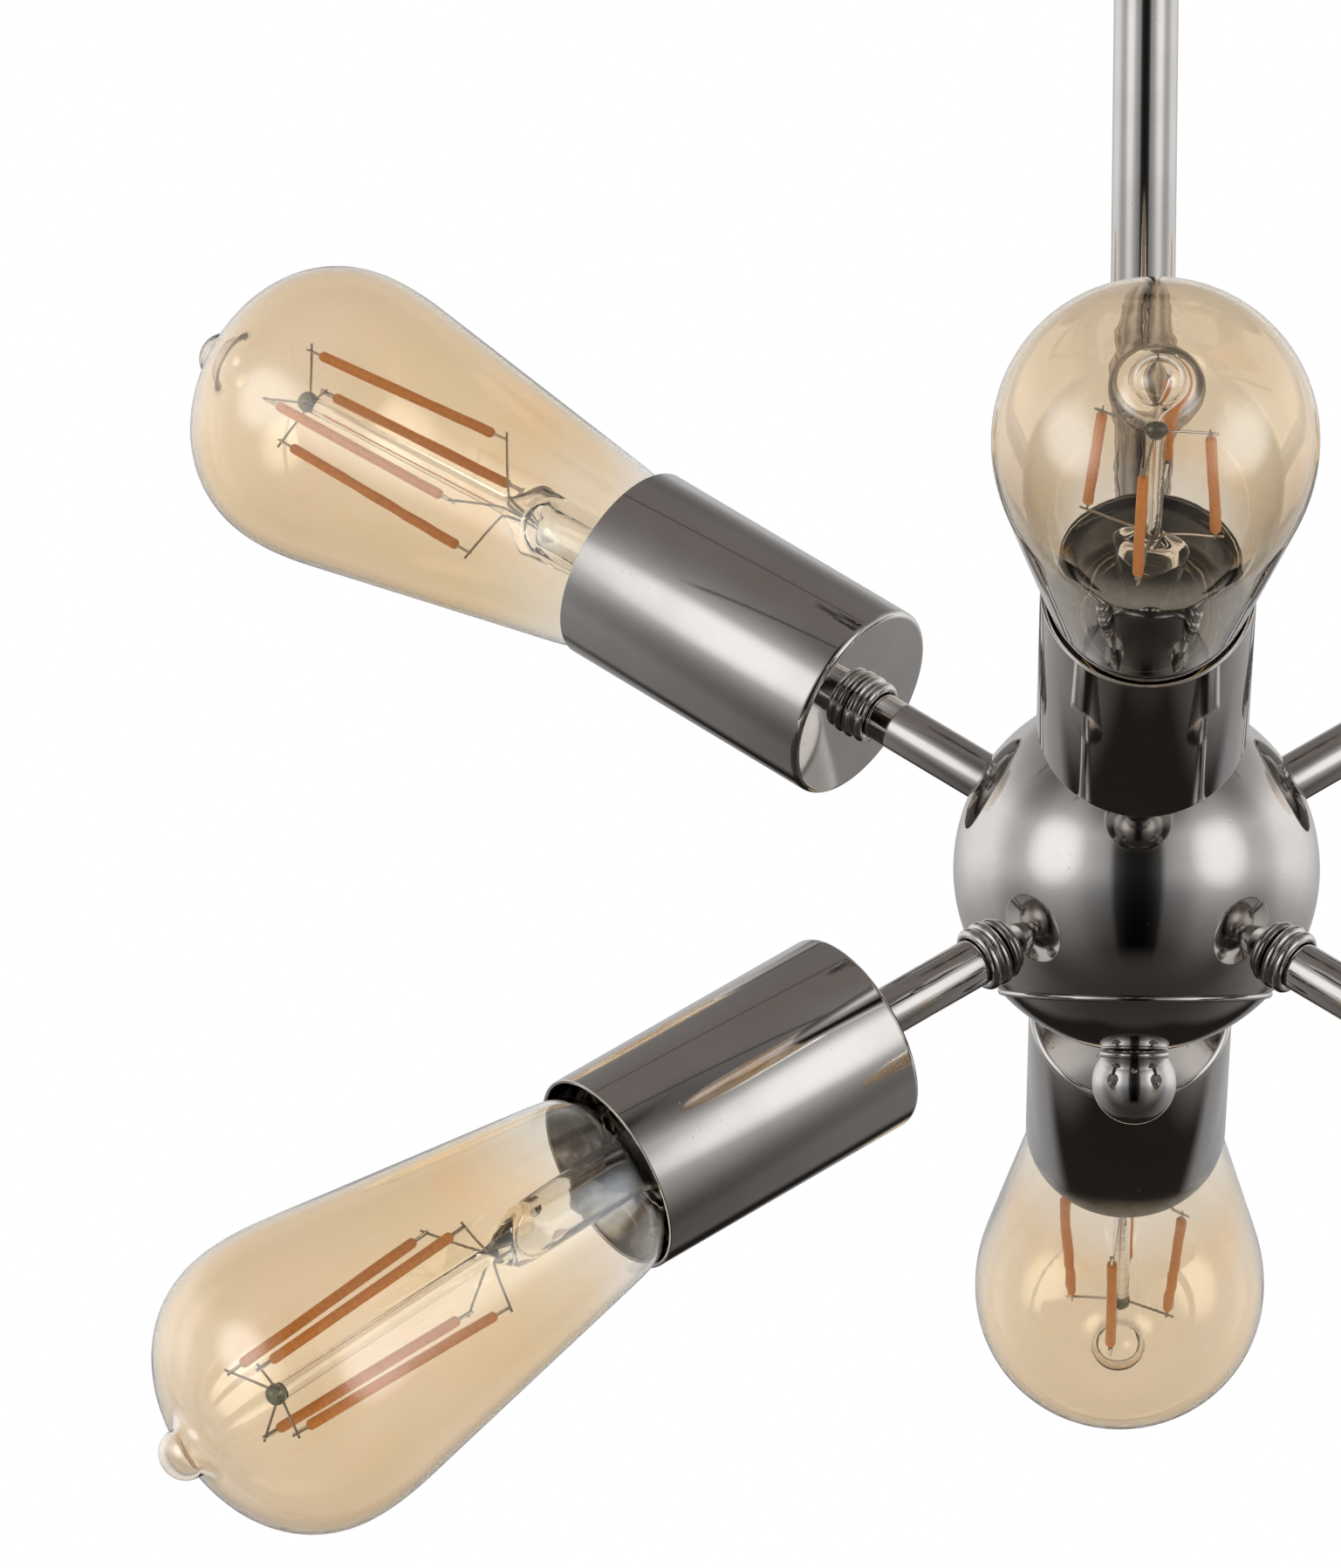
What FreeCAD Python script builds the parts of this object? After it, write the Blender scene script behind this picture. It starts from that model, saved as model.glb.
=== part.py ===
"""Six-light sputnik chandelier in polished nickel, in millimetres, +Z up.

The origin is on the ceiling, at the middle of the mounting strap.  Everything hangs below it:
strap and canopy, swivel, two downrods, a ball with six arms, and a lamp in a cup on each arm.
The front is -Y.  Arms 1, 3 and 5 point up, arms 2, 4 and 6 point down, 60 degrees apart.
"""
import FreeCAD, Part
import math
import os

V = FreeCAD.Vector

# ---------------------------------------------------------------- driving dimensions
# Clearances
THREAD_GAP = 0.1        # radial, between a thread and what it screws into or passes through
RUNNING_GAP = 0.05      # radial, in a pivot
FACE_GAP = 0.1          # between flat faces that turn on each other
SLIDE_GAP = 0.4         # radial, round what slides freely
SEAT_GAP = 0.02         # where a flat end sits on the round ball

# Canopy and mounting strap: the strap's length, its studs and its slots follow the canopy
CANOPY_DIAMETER = 122.0
CANOPY_HEIGHT = 25.0
CANOPY_WALL = 1.0
CANOPY_EDGE = 3.0       # radius of its lower edge
STRAP_END_GAP = 3.0     # from each end of the strap to the canopy's wall
STRAP_WIDTH = 20.0
STRAP_THICKNESS = 2.0
STRAP_CORNER = 4.0      # radius of its four corners
STUD_END_MARGIN = 5.0   # from a stud's middle to the strap's end
SLOT_TO_STUD = 14.0     # from a slot's middle to the stud's
SLOT_LENGTH = 16.0      # between the middles of a slot's round ends
SLOT_WIDTH = 4.8
STUD_DIAMETER = 4.0
STUD_REACH = 7.0        # below the canopy
STUD_NUT_FLATS = 7.0
STUD_NUT_HEIGHT = 3.0
CAP_NUT_DIAMETER = 11.0
CAP_NUT_DOME_DIAMETER = 9.0
CAP_NUT_GAP = 0.15      # radial, round the stud
CAP_NUT_COLLAR = 2.0
CAP_NUT_HEIGHT = 12.5
CAP_NUT_BORE_DEPTH = 9.0

# Hollow threaded nipple in the strap, and the swivel that hangs on it
NIPPLE_DIAMETER = 9.8
NIPPLE_BORE = 7.0
NIPPLE_NUT_FLATS = 14.0
NIPPLE_NUT_HEIGHT = 4.0
SWIVEL_DIAMETER = 20.0
SWIVEL_TOP = 8.0        # above the canopy's floor
SWIVEL_LIP = 5.0
RETAINER_DIAMETER = 13.8
RETAINER_HEIGHT = 4.8
SWIVEL_FLOOR = 6.0      # from the canopy's underside down to the fork's throat
PIVOT_DROP = 16.0       # from the canopy's underside down to the tilt axis
CHEEK_BELOW_PIVOT = 5.0
PIVOT_DIAMETER = 4.0
PIVOT_REACH = 2.6       # of each pivot screw into the block
PIVOT_HEAD_DIAMETER = 6.4
PIVOT_HEAD_HEIGHT = 1.4
BLOCK_WIDTH = 12.8
BLOCK_DEPTH = 12.0
BLOCK_BORE = 6.6
BLOCK_BELOW_PIVOT = 8.0
BLOCK_SPIGOT = 12.0

# Downrods
ROD_DIAMETER = 12.7
ROD_BORE = 10.0
UPPER_ROD_LENGTH = 152.0
LOWER_ROD_LENGTH = 305.0
COUPLER_DIAMETER = 16.0
COUPLER_LENGTH = 18.0
COUPLER_WEB = 2.0
COUPLER_EDGE = 1.2
COUPLER_NIPPLE_LENGTH = 30.0

# Ball, its parting line, cap and finial (heights are from the ball's middle)
BALL_DIAMETER = 72.0
BALL_WALL = 1.5
SEAM_DROP = 24.3
SEAM_BEAD_DIAMETER = 1.4
SEAM_BEAD_PROUD = 0.45
CAP_WALL = 1.2
CAP_LIP_HEIGHT = 1.8
CAP_LIP_THICKNESS = 1.0
CAP_LIP_GAP = 0.3
HUB_NIPPLE_REACH = 14.0  # up into the rod
BRIDGE_SPAN = 33.0
BRIDGE_WIDTH = 8.0
BRIDGE_THICKNESS = 1.5
BRIDGE_FOOT_DROP = 22.0
CAP_STUD_DIAMETER = 4.8
CAP_STUD_REACH = 8.0     # below the ball
FINIAL_NECK_DIAMETER = 13.6
FINIAL_NECK_HEIGHT = 3.6
FINIAL_BALL_DIAMETER = 16.6
FINIAL_BALL_DROP = 42.0
FINIAL_BORE_DEPTH = 10.0
JUNCTION_DIAMETER = 22.0
JUNCTION_FACET = 10.0    # from the middle to the face that each lead meets
JUNCTION_FOOT_DIAMETER = 8.0

# Arms
ARM_COUNT = 6
ARM_RISE = 26.0          # degrees up or down
TUBE_DIAMETER = 9.8
TUBE_BORE = 5.4
SPIGOT_DIAMETER = 8.0
ARM_NUT_FLATS = 12.0
ARM_NUT_HEIGHT = 3.4
ARM_NUT_SINK = 2.3       # from the ball's outside to the outer face of the nut within
SPIGOT_PAST_NUT = 1.0
RING_LENGTH = 7.0
RING_DIAMETER = 13.6
RING_FOOT_DIAMETER = 12.8
RING_GROOVE_DIAMETER = 11.2
RING_RECESS_DIAMETER = 10.4
RING_RECESS_DEPTH = 1.2
RING_FOOT_BEAD_LENGTH = 3.22
CUP_START = 70.2         # from the ball's middle to the cup's back
CUP_LENGTH = 61.1
CUP_DIAMETER = 40.8
CUP_WALL = 0.8
CUP_BACK_THICKNESS = 1.5
CUP_EDGE = 1.4

# Lampholder in the cup
HOLDER_DIAMETER = 35.0
HOLDER_BORE = 29.6
HOLDER_FRONT_DEPTH = 13.0  # below the cup's mouth
HOLDER_GAP = 0.2
SHELL_LINER = 0.4
CONTACT_DIAMETER = 9.0
CONTACT_THICKNESS = 0.8
CONTACT_GAP = 0.3
LEAD_DIAMETER = 3.6
LEAD_PAST_SPIGOT = 2.5
ROD_LEAD_DIAMETER = 5.6

# Lamp: heights are from the cup's mouth, along the lamp's own axis
LAMP_DROOP = 3.0         # degrees, as it rocks down in its lampholder
ROCK_DEPTH = 14.5
LAMP_CONTACT = -37.0
BASE_START = -33.0
BASE_END = -9.0
BASE_DIAMETER = 26.2
BASE_THREAD_DEPTH = 0.7
BASE_THREAD_PITCH = 3.63
BASE_THREADS = 5
INSULATOR_HEIGHT = 1.5
INSULATOR_SETBACK = 1.0   # radial, of its lower edge from the thread's root
BASE_WALL = 0.5
BUTTON_DIAMETER = 9.2
BUTTON_HEIGHT = 1.2
INSULATOR_DIAMETER = 11.0
NECK_SINK = 3.0          # of the glass into the base
GLASS_WALL = 0.8
NECK_DIAMETER = 23.4
MOUTH_GLASS_DIAMETER = 35.8
CONE_START = 10.0
CONE_START_DIAMETER = 40.8
CONE_END = 64.0
CONE_END_DIAMETER = 58.2
GLASS_DIAMETER = 60.4
GLASS_WIDEST_HEIGHT = 75.5
DOME_LENGTH = 26.0
DOME_FULLNESS = 2.25     # exponent of the dome's curve: 2 is an ellipse
TIP_DIAMETER = 15.0
TIP_RISE = 7.5           # of the nose above the dome, were that whole
STEM_DIAMETER = 12.0
STEM_PINCH_START = 22.0
STEM_PINCH_END = 30.0
STEM_ROD_DIAMETER = 3.6
STEM_BEAD_DIAMETER = 5.6
STEM_END = 84.0
FILAMENT_COUNT = 4
FILAMENT_DIAMETER = 2.1
FILAMENT_START = 38.0
FILAMENT_END = 82.5
FILAMENT_TAIL = 3.4
FILAMENT_TAIL_DIAMETER = 0.9
FILAMENT_INNER_RADIUS = 12.4
FILAMENT_OUTER_RADIUS = 10.2
SUPPORT_WIRE_DIAMETER = 0.5
SUPPORT_WIRE_FOOT = 31.0  # height at which the lower wires leave the stem
LAMP_TURNS = (20.0, 75.0, 50.0, 10.0, 68.0, 31.0)  # degrees that each lamp is screwed round

# ---------------------------------------------------------------- places worked out from them
STRAP_LENGTH = CANOPY_DIAMETER - 2 * (CANOPY_WALL + STRAP_END_GAP)
STUD_SPACING = STRAP_LENGTH - 2 * STUD_END_MARGIN
SLOT_SPACING = STUD_SPACING - 2 * SLOT_TO_STUD
CANOPY_UNDERSIDE = -CANOPY_HEIGHT
PIVOT_Z = CANOPY_UNDERSIDE - PIVOT_DROP
UPPER_ROD_TOP = PIVOT_Z - BLOCK_BELOW_PIVOT
UPPER_ROD_FOOT = UPPER_ROD_TOP - UPPER_ROD_LENGTH
COUPLER_MIDDLE = UPPER_ROD_FOOT - COUPLER_WEB / 2
LOWER_ROD_TOP = UPPER_ROD_FOOT - COUPLER_WEB
LOWER_ROD_FOOT = LOWER_ROD_TOP - LOWER_ROD_LENGTH
BALL_RADIUS = BALL_DIAMETER / 2
BALL_INSIDE = BALL_RADIUS - BALL_WALL


def ball_height(radius, sphere=BALL_RADIUS):
    """Height above its middle at which a sphere has this radius about the vertical."""
    return math.sqrt(sphere ** 2 - radius ** 2)


BALL_Z = LOWER_ROD_FOOT - ball_height(ROD_BORE / 2) - SEAT_GAP
TUBE_START = ball_height(SPIGOT_DIAMETER / 2 + THREAD_GAP) + SEAT_GAP
CUP_MOUTH = CUP_START + CUP_LENGTH
TIP_END = GLASS_WIDEST_HEIGHT + DOME_LENGTH + TIP_RISE
HOLDER_START = CUP_START + CUP_BACK_THICKNESS + ARM_NUT_HEIGHT + HOLDER_GAP
SPIGOT_END = CUP_START + CUP_BACK_THICKNESS + ARM_NUT_HEIGHT + 3 * SPIGOT_PAST_NUT
LEAD_END = SPIGOT_END + LEAD_PAST_SPIGOT
ROCK_POINT = CUP_MOUTH - ROCK_DEPTH
CONTACT_TOP = ROCK_POINT + LAMP_CONTACT + ROCK_DEPTH - CONTACT_GAP


# ---------------------------------------------------------------- shapes
def turned(start, *steps):
    """Solid of revolution about Z.  A step is (r, z), or ((r, z), (r, z)) for an arc via and to."""
    edges = []
    here = V(start[0], 0, start[1])
    for step in steps + (start,):
        if isinstance(step[0], tuple):
            via = V(step[0][0], 0, step[0][1])
            there = V(step[1][0], 0, step[1][1])
            edges.append(Part.Arc(here, via, there).toShape())
        else:
            there = V(step[0], 0, step[1])
            edges.append(Part.LineSegment(here, there).toShape())
        here = there
    return Part.Face(Part.Wire(edges)).revolve(V(0, 0, 0), V(0, 0, 1), 360)


def rod(diameter, bottom, top):
    return Part.makeCylinder(diameter / 2, top - bottom, V(0, 0, bottom))


def pipe(diameter, bore, bottom, top):
    return rod(diameter, bottom, top).cut(rod(bore, bottom, top))


def hex_nut(flats, bore, bottom, top):
    corner = flats / math.sqrt(3)
    turns = [math.radians(60 * k) for k in range(7)]
    points = [V(corner * math.cos(a), corner * math.sin(a), bottom) for a in turns]
    body = Part.Face(Part.makePolygon(points)).extrude(V(0, 0, top - bottom))
    return body.cut(rod(bore, bottom, top))


def rounded_edge(radius, height, edge, side):
    """Two points of a quarter-round corner: via and to, for a profile going along the flat first."""
    shift = edge * (1 - math.sqrt(0.5))
    return ((radius - shift, height + side * shift), (radius, height + side * edge))


def box(x, y, z):
    """Box from three (low, high) pairs."""
    size = [pair[1] - pair[0] for pair in (x, y, z)]
    return Part.makeBox(*size, V(x[0], y[0], z[0]))


def moved(shape, x=0, y=0, z=0):
    copy = shape.copy()
    copy.translate(V(x, y, z))
    return copy


def group(shapes):
    return Part.makeCompound(shapes)


def save(name, shape):
    if not shape.isValid():
        raise ValueError(name + " is not a valid shape")
    shape.exportStep("parts/" + name + ".step")


# ---------------------------------------------------------------- ceiling hardware
def crossbar():
    """Flat steel strap with two slots for the outlet box, a middle hole and two stud holes."""
    half = STRAP_LENGTH / 2
    strap = box((-half, half), (-STRAP_WIDTH / 2, STRAP_WIDTH / 2), (-STRAP_THICKNESS, 0))
    holes = [rod(NIPPLE_DIAMETER + 2 * THREAD_GAP, -STRAP_THICKNESS, 0)]
    for side in (-1, 1):
        stud = rod(STUD_DIAMETER + 2 * THREAD_GAP, -STRAP_THICKNESS, 0)
        holes.append(moved(stud, x=side * STUD_SPACING / 2))
        middle = side * SLOT_SPACING / 2
        reach = SLOT_LENGTH / 2
        width = (-SLOT_WIDTH / 2, SLOT_WIDTH / 2)
        holes.append(box((middle - reach, middle + reach), width, (-STRAP_THICKNESS, 0)))
        for end in (-reach, reach):
            holes.append(moved(rod(SLOT_WIDTH, -STRAP_THICKNESS, 0), x=middle + end))
    for hole in holes:
        strap = strap.cut(hole)
    corners = [edge for edge in strap.Edges if is_strap_corner(edge)]
    return strap.makeFillet(STRAP_CORNER, corners)


def is_strap_corner(edge):
    """True for the four upright edges at the strap's ends."""
    ends = [vertex.Point for vertex in edge.Vertexes]
    return len(ends) == 2 and all(abs(abs(point.x) - STRAP_LENGTH / 2) < 0.01 for point in ends) \
        and abs(ends[0].z - ends[1].z) > STRAP_THICKNESS / 2


def canopy():
    """Turned cup that hides the strap, open at the ceiling, with three holes in its floor."""
    outer = CANOPY_DIAMETER / 2
    inner = outer - CANOPY_WALL
    floor = CANOPY_UNDERSIDE + CANOPY_WALL
    hole = SWIVEL_DIAMETER / 2 + SLIDE_GAP
    inner_edge = CANOPY_EDGE - CANOPY_WALL
    body = turned((hole, CANOPY_UNDERSIDE), (outer - CANOPY_EDGE, CANOPY_UNDERSIDE),
                  rounded_edge(outer, CANOPY_UNDERSIDE, CANOPY_EDGE, 1), (outer, 0), (inner, 0),
                  (inner, floor + inner_edge),
                  ((inner - inner_edge * (1 - math.sqrt(0.5)),
                    floor + inner_edge * (1 - math.sqrt(0.5))), (inner - inner_edge, floor)),
                  (hole, floor))
    for side in (-1, 1):
        clearance = rod(STUD_DIAMETER + 2 * SLIDE_GAP, CANOPY_UNDERSIDE, floor)
        body = body.cut(moved(clearance, x=side * STUD_SPACING / 2))
    return body


def canopy_studs():
    stud = rod(STUD_DIAMETER, CANOPY_UNDERSIDE - STUD_REACH, 0)
    return group([moved(stud, x=side * STUD_SPACING / 2) for side in (-1, 1)])


def ceiling_nuts():
    """Hex nuts under the strap on both studs and on the nipple, and the ring under the swivel."""
    under = -STRAP_THICKNESS
    small = hex_nut(STUD_NUT_FLATS, STUD_DIAMETER + 2 * THREAD_GAP, under - STUD_NUT_HEIGHT, under)
    nuts = [moved(small, x=side * STUD_SPACING / 2) for side in (-1, 1)]
    bore = NIPPLE_DIAMETER + 2 * THREAD_GAP
    nuts.append(hex_nut(NIPPLE_NUT_FLATS, bore, under - NIPPLE_NUT_HEIGHT, under))
    top = swivel_lip_underside() - FACE_GAP
    nuts.append(pipe(RETAINER_DIAMETER, bore, top - RETAINER_HEIGHT, top))
    return group(nuts)


def cap_nut(side):
    """Blind ball nut under the canopy, on the stud at this side."""
    top = CANOPY_UNDERSIDE - FACE_GAP
    bore = STUD_DIAMETER / 2 + CAP_NUT_GAP
    radius = CAP_NUT_DIAMETER / 2
    waist = CAP_NUT_DOME_DIAMETER / 2
    collar = top - CAP_NUT_COLLAR
    end = top - CAP_NUT_HEIGHT
    dome = waist * math.sqrt(0.5)
    body = turned((bore, top), (radius, top), (radius, collar), (waist, collar),
                  (waist, end + waist), ((dome, end + waist - dome), (0, end)),
                  (0, top - CAP_NUT_BORE_DEPTH), (bore, top - CAP_NUT_BORE_DEPTH))
    return moved(body, x=side * STUD_SPACING / 2)


# ---------------------------------------------------------------- swivel
def swivel_top():
    return CANOPY_UNDERSIDE + CANOPY_WALL + SWIVEL_TOP


def swivel_lip_underside():
    return swivel_top() - SWIVEL_LIP


def ceiling_nipple():
    foot = swivel_lip_underside() - FACE_GAP - RETAINER_HEIGHT
    return pipe(NIPPLE_DIAMETER, NIPPLE_BORE, foot, 0)


def swivel_head():
    """Sleeve that turns on the nipple's ring and ends in a fork."""
    foot = PIVOT_Z - CHEEK_BELOW_PIVOT
    throat = CANOPY_UNDERSIDE - SWIVEL_FLOOR
    head = rod(SWIVEL_DIAMETER, foot, swivel_top())
    head = head.cut(rod(NIPPLE_DIAMETER + 2 * RUNNING_GAP, foot, swivel_top()))
    head = head.cut(rod(RETAINER_DIAMETER + 2 * THREAD_GAP, foot, swivel_lip_underside()))
    half_gap = BLOCK_WIDTH / 2 + FACE_GAP
    beyond = SWIVEL_DIAMETER
    slot = box((-half_gap, half_gap), (-beyond, beyond), (foot - 1, throat))
    return head.cut(slot).cut(pivot_pair(PIVOT_DIAMETER + 2 * THREAD_GAP))


def pivot_pair(diameter):
    """Two stub cylinders on the tilt axis, from the block's blind holes out past the fork."""
    inner = BLOCK_WIDTH / 2 - PIVOT_REACH
    outer = SWIVEL_DIAMETER / 2
    length = outer - inner
    return group([Part.makeCylinder(diameter / 2, length, V(side * inner, 0, PIVOT_Z),
                                    V(side, 0, 0)) for side in (-1, 1)])


def pivot_screws():
    screws = []
    for side, stub in zip((-1, 1), pivot_pair(PIVOT_DIAMETER).Solids):
        head = Part.makeCylinder(PIVOT_HEAD_DIAMETER / 2, PIVOT_HEAD_HEIGHT,
                                 V(side * SWIVEL_DIAMETER / 2, 0, PIVOT_Z), V(side, 0, 0))
        screws.append(stub.fuse(head).removeSplitter())
    return group(screws)


def swivel_block():
    """Block between the fork's cheeks, bored for the lead, with a spigot down into the rod."""
    half_width = BLOCK_WIDTH / 2
    half_depth = BLOCK_DEPTH / 2
    block = box((-half_width, half_width), (-half_depth, half_depth), (UPPER_ROD_TOP, PIVOT_Z))
    top = Part.makeCylinder(half_depth, BLOCK_WIDTH, V(-half_width, 0, PIVOT_Z), V(1, 0, 0))
    spigot = rod(ROD_BORE - 2 * THREAD_GAP, UPPER_ROD_TOP - BLOCK_SPIGOT, UPPER_ROD_TOP)
    body = block.fuse([top, spigot]).removeSplitter()
    body = body.cut(rod(BLOCK_BORE, UPPER_ROD_TOP - BLOCK_SPIGOT, PIVOT_Z + half_depth))
    return body.cut(blind_pivots())


def blind_pivots():
    """The pivot screws' running holes in the block."""
    reach = PIVOT_REACH + THREAD_GAP
    holes = []
    for side in (-1, 1):
        start = V(side * (BLOCK_WIDTH / 2 - reach), 0, PIVOT_Z)
        holes.append(Part.makeCylinder(PIVOT_DIAMETER / 2 + RUNNING_GAP, reach, start,
                                       V(side, 0, 0)))
    return group(holes)


# ---------------------------------------------------------------- downrods
def rod_coupler():
    """Sleeve over the two rods' ends, with rounded rims and a web between them."""
    top = COUPLER_MIDDLE + COUPLER_LENGTH / 2
    foot = COUPLER_MIDDLE - COUPLER_LENGTH / 2
    outer = COUPLER_DIAMETER / 2
    bore = ROD_DIAMETER / 2 + THREAD_GAP
    web = ROD_BORE / 2
    shift = COUPLER_EDGE * (1 - math.sqrt(0.5))
    return turned((bore, foot), (outer - COUPLER_EDGE, foot),
                  rounded_edge(outer, foot, COUPLER_EDGE, 1), (outer, top - COUPLER_EDGE),
                  ((outer - shift, top - shift), (outer - COUPLER_EDGE, top)), (bore, top),
                  (bore, UPPER_ROD_FOOT), (web, UPPER_ROD_FOOT), (web, LOWER_ROD_TOP),
                  (bore, LOWER_ROD_TOP))


def rod_nipples():
    """Hollow threaded nipples: one inside the coupler, one from the lower rod into the ball."""
    outer = ROD_BORE - 2 * THREAD_GAP
    half = COUPLER_NIPPLE_LENGTH / 2
    joint = pipe(outer, NIPPLE_BORE, COUPLER_MIDDLE - half, COUPLER_MIDDLE + half)
    hub = pipe(outer, NIPPLE_BORE, BALL_Z + hub_nipple_foot(), LOWER_ROD_FOOT + HUB_NIPPLE_REACH)
    return group([joint, hub])


def hub_nut_top():
    """Highest place in the ball where the nut's corners still clear the wall."""
    return ball_height(NIPPLE_NUT_FLATS / math.sqrt(3), BALL_INSIDE) - THREAD_GAP


def bridge_top():
    return hub_nut_top() - NIPPLE_NUT_HEIGHT


def hub_nipple_foot():
    return bridge_top() - BRIDGE_THICKNESS - NIPPLE_NUT_HEIGHT - SPIGOT_PAST_NUT


# ---------------------------------------------------------------- ball
def arm_angles():
    """(azimuth, rise) of each arm in degrees, from the front round to the right."""
    step = 360 / ARM_COUNT
    return [(step * k, ARM_RISE if k % 2 == 0 else -ARM_RISE) for k in range(ARM_COUNT)]


def on_arm(shape, azimuth, rise):
    """Put a shape made along +Z from the ball's middle onto an arm."""
    copy = shape.copy()
    copy.rotate(V(0, 0, 0), V(1, 0, 0), 90 - rise)
    copy.rotate(V(0, 0, 0), V(0, 0, 1), azimuth)
    copy.translate(V(0, 0, BALL_Z))
    return copy


def ball_shell():
    """Hollow ball down to the parting line, bored for the rod's nipple and the six arms."""
    solid = Part.makeSphere(BALL_RADIUS).cut(Part.makeSphere(BALL_INSIDE))
    floor = -SEAM_DROP + SEAM_BEAD_DIAMETER / 2
    reach = 2 * BALL_RADIUS
    solid = solid.cut(box((-reach, reach), (-reach, reach), (-reach, floor)))
    solid = solid.cut(rod(ROD_BORE, 0, reach))
    solid.translate(V(0, 0, BALL_Z))
    for azimuth, rise in arm_angles():
        solid = solid.cut(on_arm(rod(SPIGOT_DIAMETER + 2 * THREAD_GAP, 0, reach), azimuth, rise))
    return solid


def hub_nuts():
    bore = ROD_BORE
    top = hub_nut_top()
    plate = bridge_top()
    upper = hex_nut(NIPPLE_NUT_FLATS, bore, plate, top)
    below = plate - BRIDGE_THICKNESS
    lower = hex_nut(NIPPLE_NUT_FLATS, bore, below - NIPPLE_NUT_HEIGHT, below)
    return moved(group([upper, lower]), z=BALL_Z)


def stud_bridge():
    """Bent steel strap that hangs from the nipple and carries the cap's stud."""
    outer = BRIDGE_SPAN / 2
    inner = outer - BRIDGE_THICKNESS
    width = (-BRIDGE_WIDTH / 2, BRIDGE_WIDTH / 2)
    top = bridge_top()
    foot = -BRIDGE_FOOT_DROP
    frame = box((-outer, outer), width, (foot - BRIDGE_THICKNESS, top))
    frame = frame.cut(box((-inner, inner), width, (foot, top - BRIDGE_THICKNESS)))
    frame = frame.cut(rod(ROD_BORE, 0, top))
    frame = frame.cut(rod(CAP_STUD_DIAMETER + 2 * THREAD_GAP, foot - BRIDGE_THICKNESS, foot))
    return moved(frame, z=BALL_Z)


def stud_sink():
    """How far the cap's stud stands up into the junction block's foot."""
    return 2 * SPIGOT_PAST_NUT


def cap_stud():
    foot = -BALL_RADIUS - CAP_STUD_REACH
    top = -BRIDGE_FOOT_DROP + stud_sink()
    return moved(rod(CAP_STUD_DIAMETER, foot, top), z=BALL_Z)


def junction_block():
    """Moulded block with a face for each arm's lead and one for the rod's, on a round foot."""
    block = Part.makeSphere(JUNCTION_DIAMETER / 2)
    reach = JUNCTION_DIAMETER
    lid = box((-reach, reach), (-reach, reach), (JUNCTION_FACET, reach))
    block = block.cut(lid)
    block = block.fuse(rod(JUNCTION_FOOT_DIAMETER, -BRIDGE_FOOT_DROP, 0)).removeSplitter()
    hole = rod(CAP_STUD_DIAMETER + 2 * THREAD_GAP, -BRIDGE_FOOT_DROP,
               -BRIDGE_FOOT_DROP + stud_sink() + THREAD_GAP)
    block = block.cut(hole)
    block.translate(V(0, 0, BALL_Z))
    for azimuth, rise in arm_angles():
        block = block.cut(on_arm(lid, azimuth, rise))
    return block


def wire_leads():
    """Insulated leads: one down the rods, and one out along each arm."""
    leads = [rod(ROD_LEAD_DIAMETER, BALL_Z + JUNCTION_FACET, PIVOT_Z + BLOCK_DEPTH / 2)]
    for azimuth, rise in arm_angles():
        leads.append(on_arm(rod(LEAD_DIAMETER, JUNCTION_FACET, LEAD_END), azimuth, rise))
    return group(leads)


def bottom_cap():
    """Bowl that closes the ball: a rolled bead at the parting line and a lip up into the ball."""
    bead = SEAM_BEAD_DIAMETER / 2
    seam = ball_height(SEAM_DROP)
    bead_middle = seam + SEAM_BEAD_PROUD - bead
    inside = BALL_RADIUS - CAP_WALL
    hole = CAP_STUD_DIAMETER / 2 + SLIDE_GAP
    bead_top = -SEAM_DROP + bead
    bead_foot = -SEAM_DROP - bead
    lip = ball_height(abs(bead_top), BALL_INSIDE) - CAP_LIP_GAP
    lip_inside = lip - CAP_LIP_THICKNESS
    steep = math.atan2(ball_height(bead_foot), -bead_foot) / 2
    foot_inside = ball_height(hole, inside)
    low = (bead_top, lip_inside)
    start_inside = ball_height(low[1], inside)
    return moved(turned(
        (hole, -ball_height(hole)),
        ((BALL_RADIUS * math.sin(steep), -BALL_RADIUS * math.cos(steep)),
         (ball_height(bead_foot), bead_foot)),
        (bead_middle, bead_foot), ((bead_middle + bead, -SEAM_DROP), (bead_middle, bead_top)),
        (lip, bead_top), (lip, bead_top + CAP_LIP_HEIGHT),
        (lip_inside, bead_top + CAP_LIP_HEIGHT), (lip_inside, -start_inside),
        ((inside * math.sin(steep), -inside * math.cos(steep)), (hole, -foot_inside))), z=BALL_Z)


def finial():
    """Small ball with a beaded neck, bored blind for the cap's stud."""
    neck = FINIAL_NECK_DIAMETER / 2
    radius = FINIAL_BALL_DIAMETER / 2
    bore = CAP_STUD_DIAMETER / 2 + THREAD_GAP
    top = -BALL_RADIUS - FACE_GAP
    neck_foot = top - FINIAL_NECK_HEIGHT
    flat = neck - FINIAL_NECK_HEIGHT / 3
    middle = -FINIAL_BALL_DROP
    meet = math.sqrt(radius ** 2 - (neck_foot - middle) ** 2)
    end = top - FINIAL_BORE_DEPTH
    start_angle = math.atan2(neck_foot - middle, meet)
    via_angle = (start_angle - math.pi / 2) / 2
    via = (radius * math.cos(via_angle), middle + radius * math.sin(via_angle))
    return moved(turned((bore, top), (flat, top),
                        ((neck, (top + neck_foot) / 2), (flat, neck_foot)),
                        (meet, neck_foot), (via, (0, middle - radius)), (0, end), (bore, end)),
                 z=BALL_Z)


# ---------------------------------------------------------------- arms
def ball_nut_face():
    """Distance from the ball's middle to the outer face of the nut within."""
    return BALL_RADIUS - ARM_NUT_SINK


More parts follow.
